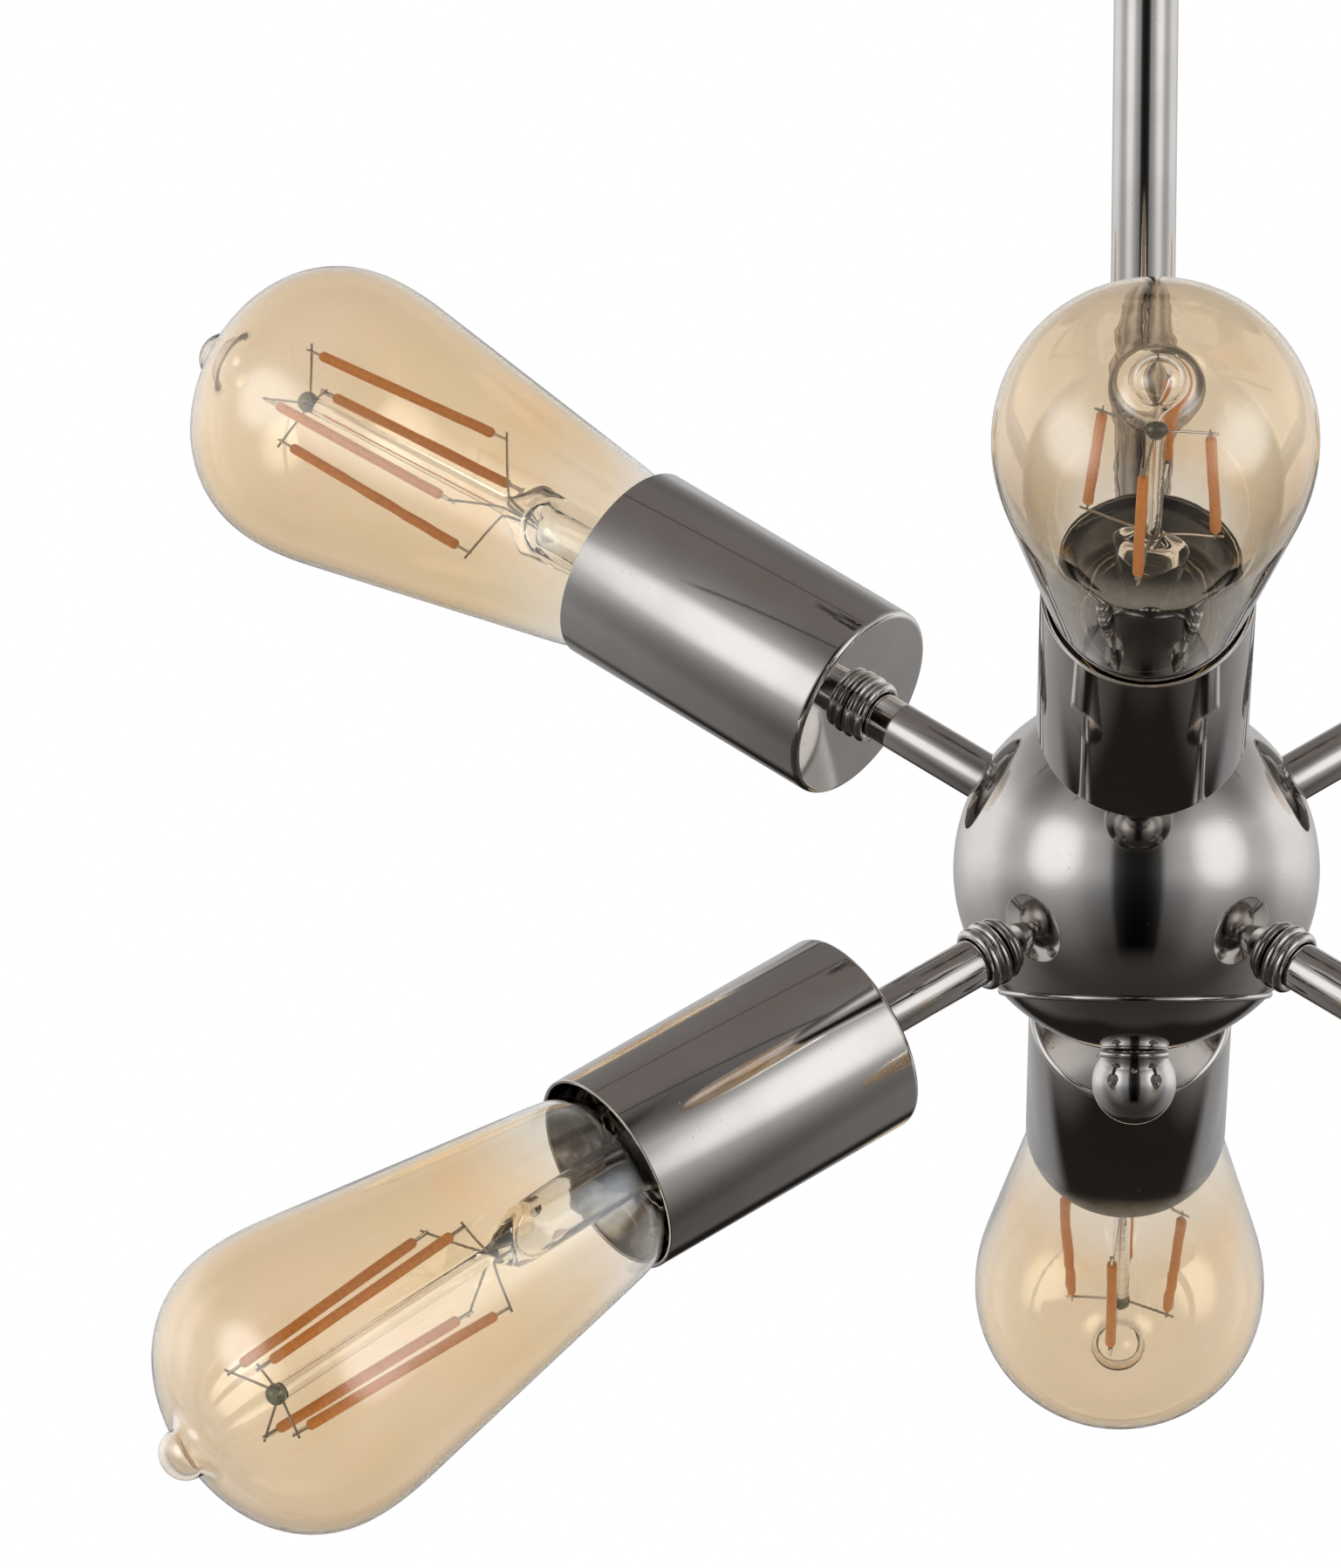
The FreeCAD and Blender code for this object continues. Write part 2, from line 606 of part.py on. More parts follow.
def tube_ends(rise):
    """Where the plain part of an arm's tube starts and ends: a ring takes up one of its ends."""
    in_ring = RING_LENGTH - RING_RECESS_DEPTH
    if rise > 0:
        return TUBE_START, CUP_START - in_ring
    return TUBE_START + in_ring, CUP_START


def arm_tube(rise):
    """Tube with a reduced, threaded spigot at each end."""
    start, end = tube_ends(rise)
    spigot_start = ball_nut_face() - ARM_NUT_HEIGHT - SPIGOT_PAST_NUT
    body = rod(SPIGOT_DIAMETER, spigot_start, SPIGOT_END).fuse(rod(TUBE_DIAMETER, start, end))
    return body.removeSplitter().cut(rod(TUBE_BORE, spigot_start, SPIGOT_END))


def check_ring(rise):
    """Turned ring of two beads.  Its foot is on the cup of a rising arm, or else on the ball."""
    bore = SPIGOT_DIAMETER / 2 + THREAD_GAP
    recess = RING_RECESS_DIAMETER / 2
    groove = RING_GROOVE_DIAMETER / 2
    foot_bead = RING_FOOT_DIAMETER / 2
    bead = RING_DIAMETER / 2
    split = RING_FOOT_BEAD_LENGTH
    ring = turned((bore, 0), (groove, 0), ((foot_bead, split / 2), (groove, split)),
                  ((bead, (split + RING_LENGTH) / 2), (groove, RING_LENGTH)),
                  (recess, RING_LENGTH), (recess, RING_LENGTH - RING_RECESS_DEPTH),
                  (bore, RING_LENGTH - RING_RECESS_DEPTH))
    if rise > 0:
        ring.rotate(V(0, 0, 0), V(1, 0, 0), 180)
        return moved(ring, z=CUP_START)
    return moved(ring, z=TUBE_START)


def arm_nut_pair():
    bore = SPIGOT_DIAMETER + 2 * THREAD_GAP
    face = ball_nut_face()
    inside_ball = hex_nut(ARM_NUT_FLATS, bore, face - ARM_NUT_HEIGHT, face)
    floor = CUP_START + CUP_BACK_THICKNESS
    inside_cup = hex_nut(ARM_NUT_FLATS, bore, floor, floor + ARM_NUT_HEIGHT)
    return [inside_ball, inside_cup]


def cup():
    """Plain turned cup with a flat back, a small edge radius and a thin square rim."""
    outer = CUP_DIAMETER / 2
    inner = outer - CUP_WALL
    hole = SPIGOT_DIAMETER / 2 + THREAD_GAP
    floor = CUP_START + CUP_BACK_THICKNESS
    return turned((hole, CUP_START), (outer - CUP_EDGE, CUP_START),
                  rounded_edge(outer, CUP_START, CUP_EDGE, 1), (outer, CUP_MOUTH),
                  (inner, CUP_MOUTH), (inner, floor), (hole, floor))


def lampholder():
    """Moulded holder, its metal screw shell and the brass contact at the bottom of its bore."""
    outer = HOLDER_DIAMETER / 2
    liner_outer = HOLDER_BORE / 2
    liner_inner = liner_outer - SHELL_LINER
    front = CUP_MOUTH - HOLDER_FRONT_DEPTH
    spigot = SPIGOT_DIAMETER / 2 + THREAD_GAP
    lead = LEAD_DIAMETER / 2 + THREAD_GAP
    bore_floor = CONTACT_TOP - CONTACT_THICKNESS
    body = turned((spigot, HOLDER_START), (outer, HOLDER_START), (outer, front),
                  (liner_outer, front), (liner_outer, bore_floor), (0, bore_floor),
                  (0, LEAD_END), (lead, LEAD_END), (lead, SPIGOT_END), (spigot, SPIGOT_END))
    liner = pipe(2 * liner_outer, 2 * liner_inner, bore_floor, front - CONTACT_THICKNESS)
    contact = rod(CONTACT_DIAMETER, bore_floor, CONTACT_TOP)
    return group([body, liner, contact])


# ---------------------------------------------------------------- lamps
def dome_point(share):
    """Place on the dome's curve at this share of its length, as (height, radius)."""
    sagging = (1 - share ** DOME_FULLNESS) ** (1 / DOME_FULLNESS)
    return GLASS_WIDEST_HEIGHT + share * DOME_LENGTH, GLASS_DIAMETER / 2 * sagging


def tip_share():
    """Share of the dome's length at which it has narrowed to the tip's radius."""
    return (1 - (TIP_DIAMETER / GLASS_DIAMETER) ** DOME_FULLNESS) ** (1 / DOME_FULLNESS)


def glass_outline():
    """Outside of the glass as (height, radius), from inside the base to the foot of the tip."""
    cone_middle = (CONE_START + CONE_END) / 2
    points = [(BASE_END - NECK_SINK, NECK_DIAMETER / 2), (BASE_END, NECK_DIAMETER / 2),
              (0, MOUTH_GLASS_DIAMETER / 2), (CONE_START, CONE_START_DIAMETER / 2),
              (cone_middle, (CONE_START_DIAMETER + CONE_END_DIAMETER) / 4),
              (CONE_END, CONE_END_DIAMETER / 2), (GLASS_WIDEST_HEIGHT, GLASS_DIAMETER / 2)]
    last = tip_share()
    points.extend(dome_point(last * share) for share in (0.3, 0.55, 0.75, 0.9, 1))
    return points


def spline(points):
    """Smooth curve through (height, radius) points."""
    curve = Part.BSplineCurve()
    curve.interpolate([V(radius, 0, height) for height, radius in points])
    return curve


def inset(curve, wall):
    """Points of a curve moved inward by the wall, sampled evenly along it."""
    samples = 24
    first = curve.FirstParameter
    last = curve.LastParameter
    points = []
    for k in range(samples + 1):
        at = first + (last - first) * k / samples
        place = curve.value(at)
        along = curve.tangent(at)[0]
        points.append((place.z + wall * along.x, place.x - wall * along.z))
    return points


def nose(foot, end):
    """Round nose centred on the axis, from (height, radius) at its foot to its end's height."""
    height, radius = foot
    middle = (end ** 2 - radius ** 2 - height ** 2) / (2 * (end - height))
    size = end - middle
    turn = (math.atan2(height - middle, radius) + math.pi / 2) / 2
    return size * math.cos(turn), middle + size * math.sin(turn)


def lamp_glass():
    """Hollow blown envelope with a nose at its tip, open only inside the base."""
    outside = spline(glass_outline())
    inside = spline(inset(outside, GLASS_WALL))
    starts = [curve.value(curve.FirstParameter) for curve in (inside, outside)]
    feet = [curve.value(curve.LastParameter) for curve in (inside, outside)]
    ends = [V(0, 0, TIP_END - GLASS_WALL), V(0, 0, TIP_END)]
    noses = []
    for foot, end in zip(feet, ends):
        radius, height = nose((foot.z, foot.x), end.z)
        noses.append(Part.Arc(foot, V(radius, 0, height), end).toShape())
    edges = [outside.toShape(), noses[1], Part.LineSegment(ends[1], ends[0]).toShape(), noses[0],
             inside.toShape(), Part.LineSegment(*starts).toShape()]
    face = Part.Face(Part.Wire(edges))
    return face.revolve(V(0, 0, 0), V(0, 0, 1), 360)


def lamp_base():
    """Screw shell with rounded threads, black glass insulator and centre contact."""
    crest = BASE_DIAMETER / 2
    root = crest - BASE_THREAD_DEPTH
    thread_start = BASE_START + INSULATOR_HEIGHT
    steps = []
    for k in range(BASE_THREADS):
        low = thread_start + k * BASE_THREAD_PITCH
        middle = low + BASE_THREAD_PITCH / 2
        steps.append(((crest, middle), (root, low + BASE_THREAD_PITCH)))
    inner = min(root, NECK_DIAMETER / 2 + THREAD_GAP + BASE_WALL) - BASE_WALL
    shell = turned((root, thread_start), *steps, (root, BASE_END), (inner, BASE_END),
                   (inner, thread_start))
    button_top = LAMP_CONTACT + BUTTON_HEIGHT
    insulator = turned((0, thread_start), (root, thread_start),
                       (root - INSULATOR_SETBACK, BASE_START),
                       (INSULATOR_DIAMETER / 2, button_top), (0, button_top))
    button_radius = BUTTON_DIAMETER / 2
    ball = (button_radius ** 2 + BUTTON_HEIGHT ** 2) / (2 * BUTTON_HEIGHT)
    half_turn = math.asin(button_radius / ball) / 2
    via = (ball * math.sin(half_turn), LAMP_CONTACT + ball * (1 - math.cos(half_turn)))
    button = turned((0, LAMP_CONTACT), (via, (button_radius, button_top)), (0, button_top))
    return group([shell, insulator, button])


def filament_place(turn, height):
    """A point on a filament: they lean in a little towards the tip."""
    share = (height - FILAMENT_START) / (FILAMENT_END - FILAMENT_START)
    radius = FILAMENT_INNER_RADIUS + share * (FILAMENT_OUTER_RADIUS - FILAMENT_INNER_RADIUS)
    return V(radius * math.cos(turn), radius * math.sin(turn), height)


def bar(start, end, diameter):
    way = end - start
    return Part.makeCylinder(diameter / 2, way.Length, start, way)


def lamp_core():
    """Glass stem with its pinch, rod and bead, four filaments and the wires that hold them."""
    stem = STEM_DIAMETER / 2
    thin = STEM_ROD_DIAMETER / 2
    bead = STEM_BEAD_DIAMETER / 2
    bead_middle = STEM_END - bead
    bead_low = bead_middle - math.sqrt(bead ** 2 - thin ** 2)
    stem_foot = BASE_END - NECK_SINK
    glass = turned((0, stem_foot), (NECK_DIAMETER / 2 - GLASS_WALL - THREAD_GAP, stem_foot),
                   (stem, BASE_END + NECK_SINK), (stem, STEM_PINCH_START), (thin, STEM_PINCH_END),
                   (thin, bead_low), ((bead, bead_middle), (0, STEM_END)))
    pieces = [glass]
    gap = SUPPORT_WIRE_DIAMETER / 2
    for k in range(FILAMENT_COUNT):
        turn = 2 * math.pi * k / FILAMENT_COUNT
        low = filament_place(turn, FILAMENT_START)
        high = filament_place(turn, FILAMENT_END)
        tail_low = filament_place(turn, FILAMENT_START - FILAMENT_TAIL)
        tail_high = filament_place(turn, FILAMENT_END + FILAMENT_TAIL)
        strip = bar(low, high, FILAMENT_DIAMETER)
        strip = strip.fuse(bar(tail_low, tail_high, FILAMENT_TAIL_DIAMETER)).removeSplitter()
        pieces.append(strip)
        outward = V(math.cos(turn), math.sin(turn), 0)
        for tail, foot_height, foot_reach in (
                (tail_low, SUPPORT_WIRE_FOOT, thin), (tail_high, bead_middle, bead)):
            start = outward * (foot_reach + gap) + V(0, 0, foot_height)
            end = tail - outward * (FILAMENT_TAIL_DIAMETER / 2 + gap)
            pieces.append(bar(start, end, SUPPORT_WIRE_DIAMETER))
    return group(pieces)


def on_lamp(shape, azimuth, rise, turn):
    """Put a shape made about the lamp's own axis, from the cup's mouth, into its lampholder."""
    copy = shape.copy()
    copy.rotate(V(0, 0, 0), V(0, 0, 1), turn)
    copy.translate(V(0, 0, ROCK_DEPTH))
    copy.rotate(V(0, 0, 0), V(1, 0, 0), LAMP_DROOP)
    copy.translate(V(0, 0, ROCK_POINT))
    return on_arm(copy, azimuth, rise)


# ---------------------------------------------------------------- build
os.makedirs("parts", exist_ok=True)

save("crossbar", crossbar())
save("ceiling_nipple", ceiling_nipple())
save("ceiling_nuts", ceiling_nuts())
save("canopy_studs", canopy_studs())
save("canopy", canopy())
save("cap_nut_1", cap_nut(-1))
save("cap_nut_2", cap_nut(1))
save("swivel_head", swivel_head())
save("pivot_screws", pivot_screws())
save("swivel_block", swivel_block())
save("rod_upper", pipe(ROD_DIAMETER, ROD_BORE, UPPER_ROD_FOOT, UPPER_ROD_TOP))
save("rod_coupler", rod_coupler())
save("rod_nipples", rod_nipples())
save("rod_lower", pipe(ROD_DIAMETER, ROD_BORE, LOWER_ROD_FOOT, LOWER_ROD_TOP))
save("ball_shell", ball_shell())
save("hub_nuts", hub_nuts())
save("stud_bridge", stud_bridge())
save("cap_stud", cap_stud())
save("junction_block", junction_block())
save("wire_leads", wire_leads())
save("bottom_cap", bottom_cap())
save("finial", finial())

rings = []
nuts = []
for number, (azimuth, rise) in enumerate(arm_angles(), start=1):
    turn = LAMP_TURNS[number - 1]
    save("arm_tube_%d" % number, on_arm(arm_tube(rise), azimuth, rise))
    save("cup_%d" % number, on_arm(cup(), azimuth, rise))
    save("lampholder_%d" % number, on_arm(lampholder(), azimuth, rise))
    save("lamp_glass_%d" % number, on_lamp(lamp_glass(), azimuth, rise, turn))
    save("lamp_base_%d" % number, on_lamp(lamp_base(), azimuth, rise, turn))
    save("lamp_core_%d" % number, on_lamp(lamp_core(), azimuth, rise, turn))
    rings.append(on_arm(check_ring(rise), azimuth, rise))
    nuts.extend(on_arm(nut, azimuth, rise) for nut in arm_nut_pair())
save("check_rings", group(rings))
save("arm_nuts", group(nuts))

print("ball middle at z", round(BALL_Z, 3), "tilt axis at z", round(PIVOT_Z, 3))
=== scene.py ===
"""Looks of a six-light sputnik chandelier in polished nickel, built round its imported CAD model.

Sizes are in millimetres until a piece is put in its place.  The fixture's front is -Y, its origin
is on the ceiling, and each turned piece is made about its own axis before it goes onto its arm.
"""
import math
import random

import bmesh
import bpy
from mathutils import Matrix, Vector
from mathutils.geometry import interpolate_bezier


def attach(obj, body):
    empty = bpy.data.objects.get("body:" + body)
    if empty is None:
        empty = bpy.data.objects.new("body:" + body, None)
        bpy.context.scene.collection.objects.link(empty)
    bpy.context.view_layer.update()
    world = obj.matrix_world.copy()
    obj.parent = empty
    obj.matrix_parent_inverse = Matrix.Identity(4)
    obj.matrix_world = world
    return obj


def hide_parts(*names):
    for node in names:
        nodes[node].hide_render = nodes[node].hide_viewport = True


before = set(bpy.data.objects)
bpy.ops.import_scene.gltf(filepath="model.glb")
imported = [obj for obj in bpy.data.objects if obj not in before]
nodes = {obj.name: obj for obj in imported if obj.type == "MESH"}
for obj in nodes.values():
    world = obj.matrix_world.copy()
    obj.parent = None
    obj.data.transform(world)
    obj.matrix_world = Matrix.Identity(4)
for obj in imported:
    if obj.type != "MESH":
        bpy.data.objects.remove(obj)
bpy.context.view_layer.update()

scene = bpy.context.scene


# ------------------------------------------------------------------ studio
# The fixture hangs in a plain white studio: a ring of soft light stands round it at its own height,
# open only towards the camera, the ceiling is dim and warm, and a pale floor lies well below.
class Value:
    """A number or colour in a node tree; Python's operators on it add the Math nodes."""

    def __init__(self, recipe, socket):
        self.recipe = recipe
        self.socket = socket

    def maths(self, operation, *others):
        return self.recipe.node("ShaderNodeMath", {"operation": operation},
                                dict(enumerate((self,) + others)))

    def reflected(self, operation, other):
        return self.recipe.node("ShaderNodeMath", {"operation": operation}, {0: other, 1: self})

    def __add__(self, other):
        return self.maths("ADD", other)

    def __sub__(self, other):
        return self.maths("SUBTRACT", other)

    def __rsub__(self, other):
        return self.reflected("SUBTRACT", other)

    def __mul__(self, other):
        return self.maths("MULTIPLY", other)

    def __truediv__(self, other):
        return self.maths("DIVIDE", other)

    def __pow__(self, other):
        return self.maths("POWER", other)

    def __abs__(self):
        return self.maths("ABSOLUTE")

    __radd__ = __add__
    __rmul__ = __mul__

    def rising(self, low, high):
        """0 below low, 1 above high, and smooth between."""
        return self.recipe.node("ShaderNodeMapRange", {"interpolation_type": "SMOOTHSTEP"},
                                {0: self, 1: low, 2: high})

    def clamped(self):
        return self.recipe.node("ShaderNodeClamp", {}, {0: self})


class Recipe:
    """A node tree being written: node() adds any node, and the rest are short ways to say it."""

    def __init__(self, owner):
        owner.use_nodes = True
        self.tree = owner.node_tree
        self.tree.nodes.clear()

    def node(self, kind, settings, inputs, output=0):
        made = self.tree.nodes.new(kind)
        for name, value in settings.items():
            if name == "stops":
                made.color_ramp.interpolation = "B_SPLINE"
                ramp = made.color_ramp.elements
                while len(ramp) < len(value):
                    ramp.new(0.5)
                for stop, (position, colour) in zip(ramp, value):
                    stop.position = position
                    stop.color = (*colour, 1)
            else:
                setattr(made, name, value)
        for name, value in inputs.items():
            if isinstance(value, Value):
                self.tree.links.new(value.socket, made.inputs[name])
            elif isinstance(value, tuple) and len(made.inputs[name].default_value) == 4:
                made.inputs[name].default_value = (*value, 1)
            else:
                made.inputs[name].default_value = value
        return Value(self, made.outputs[output]) if made.outputs else None

    def mix(self, share, first, second):
        """Colour between two, by a share from 0 to 1."""
        return self.node("ShaderNodeMix", {"data_type": "RGBA"}, {0: share, 6: first, 7: second}, 2)

    def split(self, vector):
        """The three numbers of a vector."""
        made = self.node("ShaderNodeSeparateXYZ", {}, {0: vector})
        sockets = made.socket.node.outputs
        return [Value(self, sockets[k]) for k in range(3)]

    def joined(self, x, y, z):
        return self.node("ShaderNodeCombineXYZ", {}, {0: x, 1: y, 2: z})

    def noise(self, place, scale, detail=2.0):
        return self.node("ShaderNodeTexNoise", {},
                         {"Vector": place, "Scale": scale, "Detail": detail})

    def ray(self, *outputs):
        """1 on a ray of any of these kinds, else 0."""
        path = self.tree.nodes.new("ShaderNodeLightPath")
        total = 0
        for name in outputs:
            total = Value(self, path.outputs[name]) + total
        return total.clamped()


WHITE = (1.0, 1.0, 1.0)
AMBIENT = (0.80, 0.80, 0.80)      # the plain light on what is dull
SHADOW = (0.018, 0.015, 0.013)
BOX_MIDDLE = (1.5, 1.5, 1.5)      # a soft box's middle, as metal shows it
GLASS_GLOW = (3.6, 4.1, 4.9)      # and as the inside of the glass does
# The studio as metal and glass see it: from the gap by the camera round to the backdrop, in
# degrees.
ROUND_ABOUT = tuple((turn / 180, (level, level, level)) for turn, level in (
    (0, 0.012), (14, 0.012), (18, 0.38), (32, 0.52), (44, 1.00), (62, 1.00), (76, 0.56), (92, 0.58),
    (106, 1.05), (132, 1.00), (152, 0.72), (166, 0.55), (180, 0.55)))
# And from the ground up to the ceiling, by height of the direction from -1 to 1.
GROUND_TO_CEILING = tuple(((height + 1) / 2, colour) for height, colour in (
    (-1.0, (0.036, 0.030, 0.026)), (-0.80, (0.075, 0.066, 0.060)), (-0.62, (0.185, 0.174, 0.165)),
    (-0.42, (0.280, 0.272, 0.268)), (-0.20, (0.480, 0.480, 0.480)), (-0.04, (0.900, 0.900, 0.900)),
    (0.20, (1.200, 1.200, 1.200)), (0.38, (1.050, 1.050, 1.050)), (0.54, (0.500, 0.500, 0.500)),
    (0.72, (0.300, 0.285, 0.276)), (0.90, (0.200, 0.182, 0.172)), (1.0, (0.190, 0.170, 0.160))))
GLOW = (0.804, -0.563, 0.191)    # towards the middle of the right soft box
RAILS = (0.14, -0.46)            # two thin rails across the ceiling


def hang_world():
    world = bpy.data.worlds.new("white_studio")
    scene.world = world
    recipe = Recipe(world)
    way = recipe.node("ShaderNodeTexCoord", {}, {}, "Generated")
    x, y, z = recipe.split(way)
    round_about = abs(recipe.node("ShaderNodeMath", {"operation": "ARCTAN2"},
                                  {0: x, 1: 0 - y})) * (1 / math.pi)
    ring = recipe.node("ShaderNodeValToRGB", {"stops": ROUND_ABOUT}, {0: round_about})
    level = recipe.node("ShaderNodeValToRGB", {"stops": GROUND_TO_CEILING}, {0: z * 0.5 + 0.5})
    # Straight up and straight down the ring ends, and only the ceiling or the ground shows; low
    # down behind, the backdrop ends in shadow.
    past = abs(z).rising(0.72, 0.97)
    shadow = z.rising(-0.30, -0.42) * z.rising(-0.95, -0.85) * round_about.rising(0.80, 0.88)
    studio = recipe.node("ShaderNodeMix", {"data_type": "RGBA", "blend_type": "MULTIPLY"},
                         {0: 1.0, 6: recipe.mix(past, ring, WHITE), 7: level}, 2)
    studio = recipe.mix(shadow, studio, SHADOW)
    for rail in RAILS:
        thin = abs(y - rail).rising(0.014, 0.005) * z.rising(0.62, 0.70)
        studio = recipe.mix(thin * 0.7, studio, SHADOW)
    glow = abs(x) * GLOW[0] + y * GLOW[1] + z * GLOW[2]
    studio = recipe.mix(glow.rising(0.92, 1.0) * 0.5, studio, BOX_MIDDLE)
    # What shines off the inside of the glass shows the soft boxes' middles, a little cooler; what
    # is seen straight through it is the white backdrop all round.
    inside = recipe.mix(0.3, studio, AMBIENT)
    inside = recipe.mix(y.rising(0.35, 0.85), inside, WHITE)
    inside = recipe.mix(glow.rising(0.88, 1.0), inside, GLASS_GLOW)
    through = recipe.mix(abs(z).rising(0.85, 0.55), studio, WHITE)
    through = recipe.mix(recipe.ray("Glossy Depth"), through, inside)
    lit = recipe.mix(recipe.ray("Is Glossy Ray"), AMBIENT, studio)
    lit = recipe.mix(recipe.ray("Is Transmission Ray"), lit, through)
    # What is dull stands in the same plain light, also inside a lamp's glass.
    lit = recipe.mix(recipe.ray("Diffuse Depth"), lit, AMBIENT)
    colour = recipe.mix(recipe.ray("Is Camera Ray"), lit, WHITE)
    surface = recipe.node("ShaderNodeBackground", {}, {"Color": colour, "Strength": 1.0})
    recipe.node("ShaderNodeOutputWorld", {}, {"Surface": surface})


FLOOR_DROP = 1.30     # m below the ceiling
FLOOR_RADIUS = 4.5
FLOOR_FADE = 2.5      # m from the middle, where the floor starts to melt into the backdrop


def lay_floor():
    shape = bmesh.new()
    bmesh.ops.create_circle(shape, cap_ends=True, segments=96, radius=FLOOR_RADIUS,
                            matrix=Matrix.Translation((0, 0, -FLOOR_DROP)))
    mesh = bpy.data.meshes.new("studio_floor")
    shape.to_mesh(mesh)
    floor = bpy.data.objects.new("studio_floor", mesh)
    scene.collection.objects.link(floor)
    material = bpy.data.materials.new("pale_floor")
    recipe = Recipe(material)
    x, y, _ = recipe.split(recipe.node("ShaderNodeTexCoord", {}, {}, "Object"))
    far = ((x * x + y * y) ** 0.5).rising(FLOOR_FADE, FLOOR_RADIUS)
    solid = recipe.node("ShaderNodeBsdfPrincipled", {}, {
        "Base Color": (0.88, 0.88, 0.87), "Roughness": 0.8})
    clear = recipe.node("ShaderNodeBsdfTransparent", {}, {})
    # Metal mirrors the studio's own dim ground, so the floor lets mirrored rays through.  It can
    # also be looked through from below.
    below = recipe.node("ShaderNodeNewGeometry", {}, {}, "Backfacing")
    unseen = (far + recipe.ray("Glossy Depth") + below).clamped()
    surface = recipe.node("ShaderNodeMixShader", {}, {0: unseen, 1: solid, 2: clear})
    recipe.node("ShaderNodeOutputMaterial", {}, {"Surface": surface})
    mesh.materials.append(material)


SOFT_BOXES = {"left": (-1.5, -1.0, -0.45), "right": (1.5, -1.0, -0.45)}
SOFT_BOX_WIDTH = 0.8      # m
SOFT_BOX_HEIGHT = 1.4
SOFT_BOX_POWER = 16       # W
BALL_HEIGHT = -543.671    # mm, the middle of the ball


def hang_lights():
    for name, place in SOFT_BOXES.items():
        light = bpy.data.lights.new("soft_box_" + name, "AREA")
        light.shape = "RECTANGLE"
        light.size = SOFT_BOX_WIDTH
        light.size_y = SOFT_BOX_HEIGHT
        light.energy = SOFT_BOX_POWER
        lamp = bpy.data.objects.new("soft_box_" + name, light)
        lamp.location = place
        aim = Vector((0, 0, BALL_HEIGHT / 1000)) - lamp.location
        lamp.rotation_euler = aim.to_track_quat("-Z", "Y").to_euler()
        # What shines is the studio's own soft boxes; these only light what is dull.
        lamp.visible_glossy = False
        lamp.visible_transmission = False
        scene.collection.objects.link(lamp)


hang_world()
lay_floor()
hang_lights()
scene.view_settings.view_transform = "Standard"


# ------------------------------------------------------------------ camera
# The photograph was taken with a long lens from about 2.9 m, slightly above the ball and leaning a
# little.  The ball is well right of the frame's middle, so the camera is turned, not shifted.
CAMERA_DISTANCE = 2.88
PIXELS_PER_METRE = 5833.0     # at the ball, in a frame of 1537 x 1797
FRAME_WIDTH = 1537.0
FRAME_HEIGHT = 1797.0
BALL_PIXEL = (1302.6, 995.6)
CAMERA_RISE = math.radians(2.4)
CAMERA_SIDE = math.radians(-0.8)
CAMERA_ROLL = math.radians(-0.65)


def place_camera():
    reach = PIXELS_PER_METRE * CAMERA_DISTANCE
    way = Vector((math.sin(CAMERA_SIDE) * math.cos(CAMERA_RISE),
                  -math.cos(CAMERA_SIDE) * math.cos(CAMERA_RISE), math.sin(CAMERA_RISE)))
    forward = -way
    right = forward.cross(Vector((0, 0, 1))).normalized()
    up = right.cross(forward)
    facing = Matrix((right, up, -forward))
    ball = Vector(((BALL_PIXEL[0] - FRAME_WIDTH / 2) / reach,
                   -(BALL_PIXEL[1] - FRAME_HEIGHT / 2) / reach, -1)).normalized()
    turned = Vector((0, 0, -1)).rotation_difference(ball).to_matrix()
    rolled = Matrix.Rotation(CAMERA_ROLL, 3, -ball)
    to_camera = rolled @ turned @ facing
    data = bpy.data.cameras.new("camera")
    data.sensor_width = 36
    data.lens = reach * data.sensor_width / FRAME_HEIGHT
    data.clip_end = 50
    camera = bpy.data.objects.new("camera", data)
    place = Vector((0, 0, BALL_HEIGHT / 1000)) + CAMERA_DISTANCE * way
    camera.matrix_world = Matrix.Translation(place) @ to_camera.transposed().to_4x4()
    scene.collection.objects.link(camera)
    scene.camera = camera


place_camera()


# ------------------------------------------------------------------ ceiling hardware
# A stamped steel strap with its studs, nuts and hollow nipple, bright zinc plated: a cool grey with
# a faint yellow bloom.  The canopy hides all of it, and it is open at the ceiling.
ZINC = (0.56, 0.57, 0.58)
ZINC_BLOOM = (0.60, 0.55, 0.42)


def painted(name, recipe_of):
    """A material whose nodes recipe_of(recipe) makes; it returns the shader."""
    material = bpy.data.materials.new(name)
    recipe = Recipe(material)
    recipe.node("ShaderNodeOutputMaterial", {}, {"Surface": recipe_of(recipe)})
    return material


def in_millimetres(recipe):
    """Object coordinates in millimetres."""
    place = recipe.node("ShaderNodeTexCoord", {}, {}, "Object")
    return recipe.node("ShaderNodeMapping", {}, {"Vector": place, "Scale": (1000, 1000, 1000)})


def zinc_plate(recipe):
    place = in_millimetres(recipe)
    bloom = recipe.noise(place, 0.12).rising(0.42, 0.62)
    spangle = recipe.noise(place, 1.6, 3.0)
    bumps = recipe.node("ShaderNodeBump", {}, {
        "Strength": 0.15, "Distance": 0.0001, "Height": spangle})
    return recipe.node("ShaderNodeBsdfPrincipled", {}, {
        "Base Color": recipe.mix(bloom * 0.6, ZINC, ZINC_BLOOM), "Metallic": 1.0,
        "Roughness": 0.26 + 0.16 * spangle, "Normal": bumps})


zinc = painted("zinc_plate", zinc_plate)


def finish_nodes(material, *names):
    """Give CAD nodes that keep their shape a finish."""
    for name in names:
        mesh = nodes[name].data
        mesh.materials.clear()
        mesh.materials.append(material)


finish_nodes(zinc, "crossbar", "ceiling_nipple", "ceiling_nuts", "canopy_studs", "hub_nuts",
             "stud_bridge", "cap_stud", "rod_nipples", "arm_nuts")


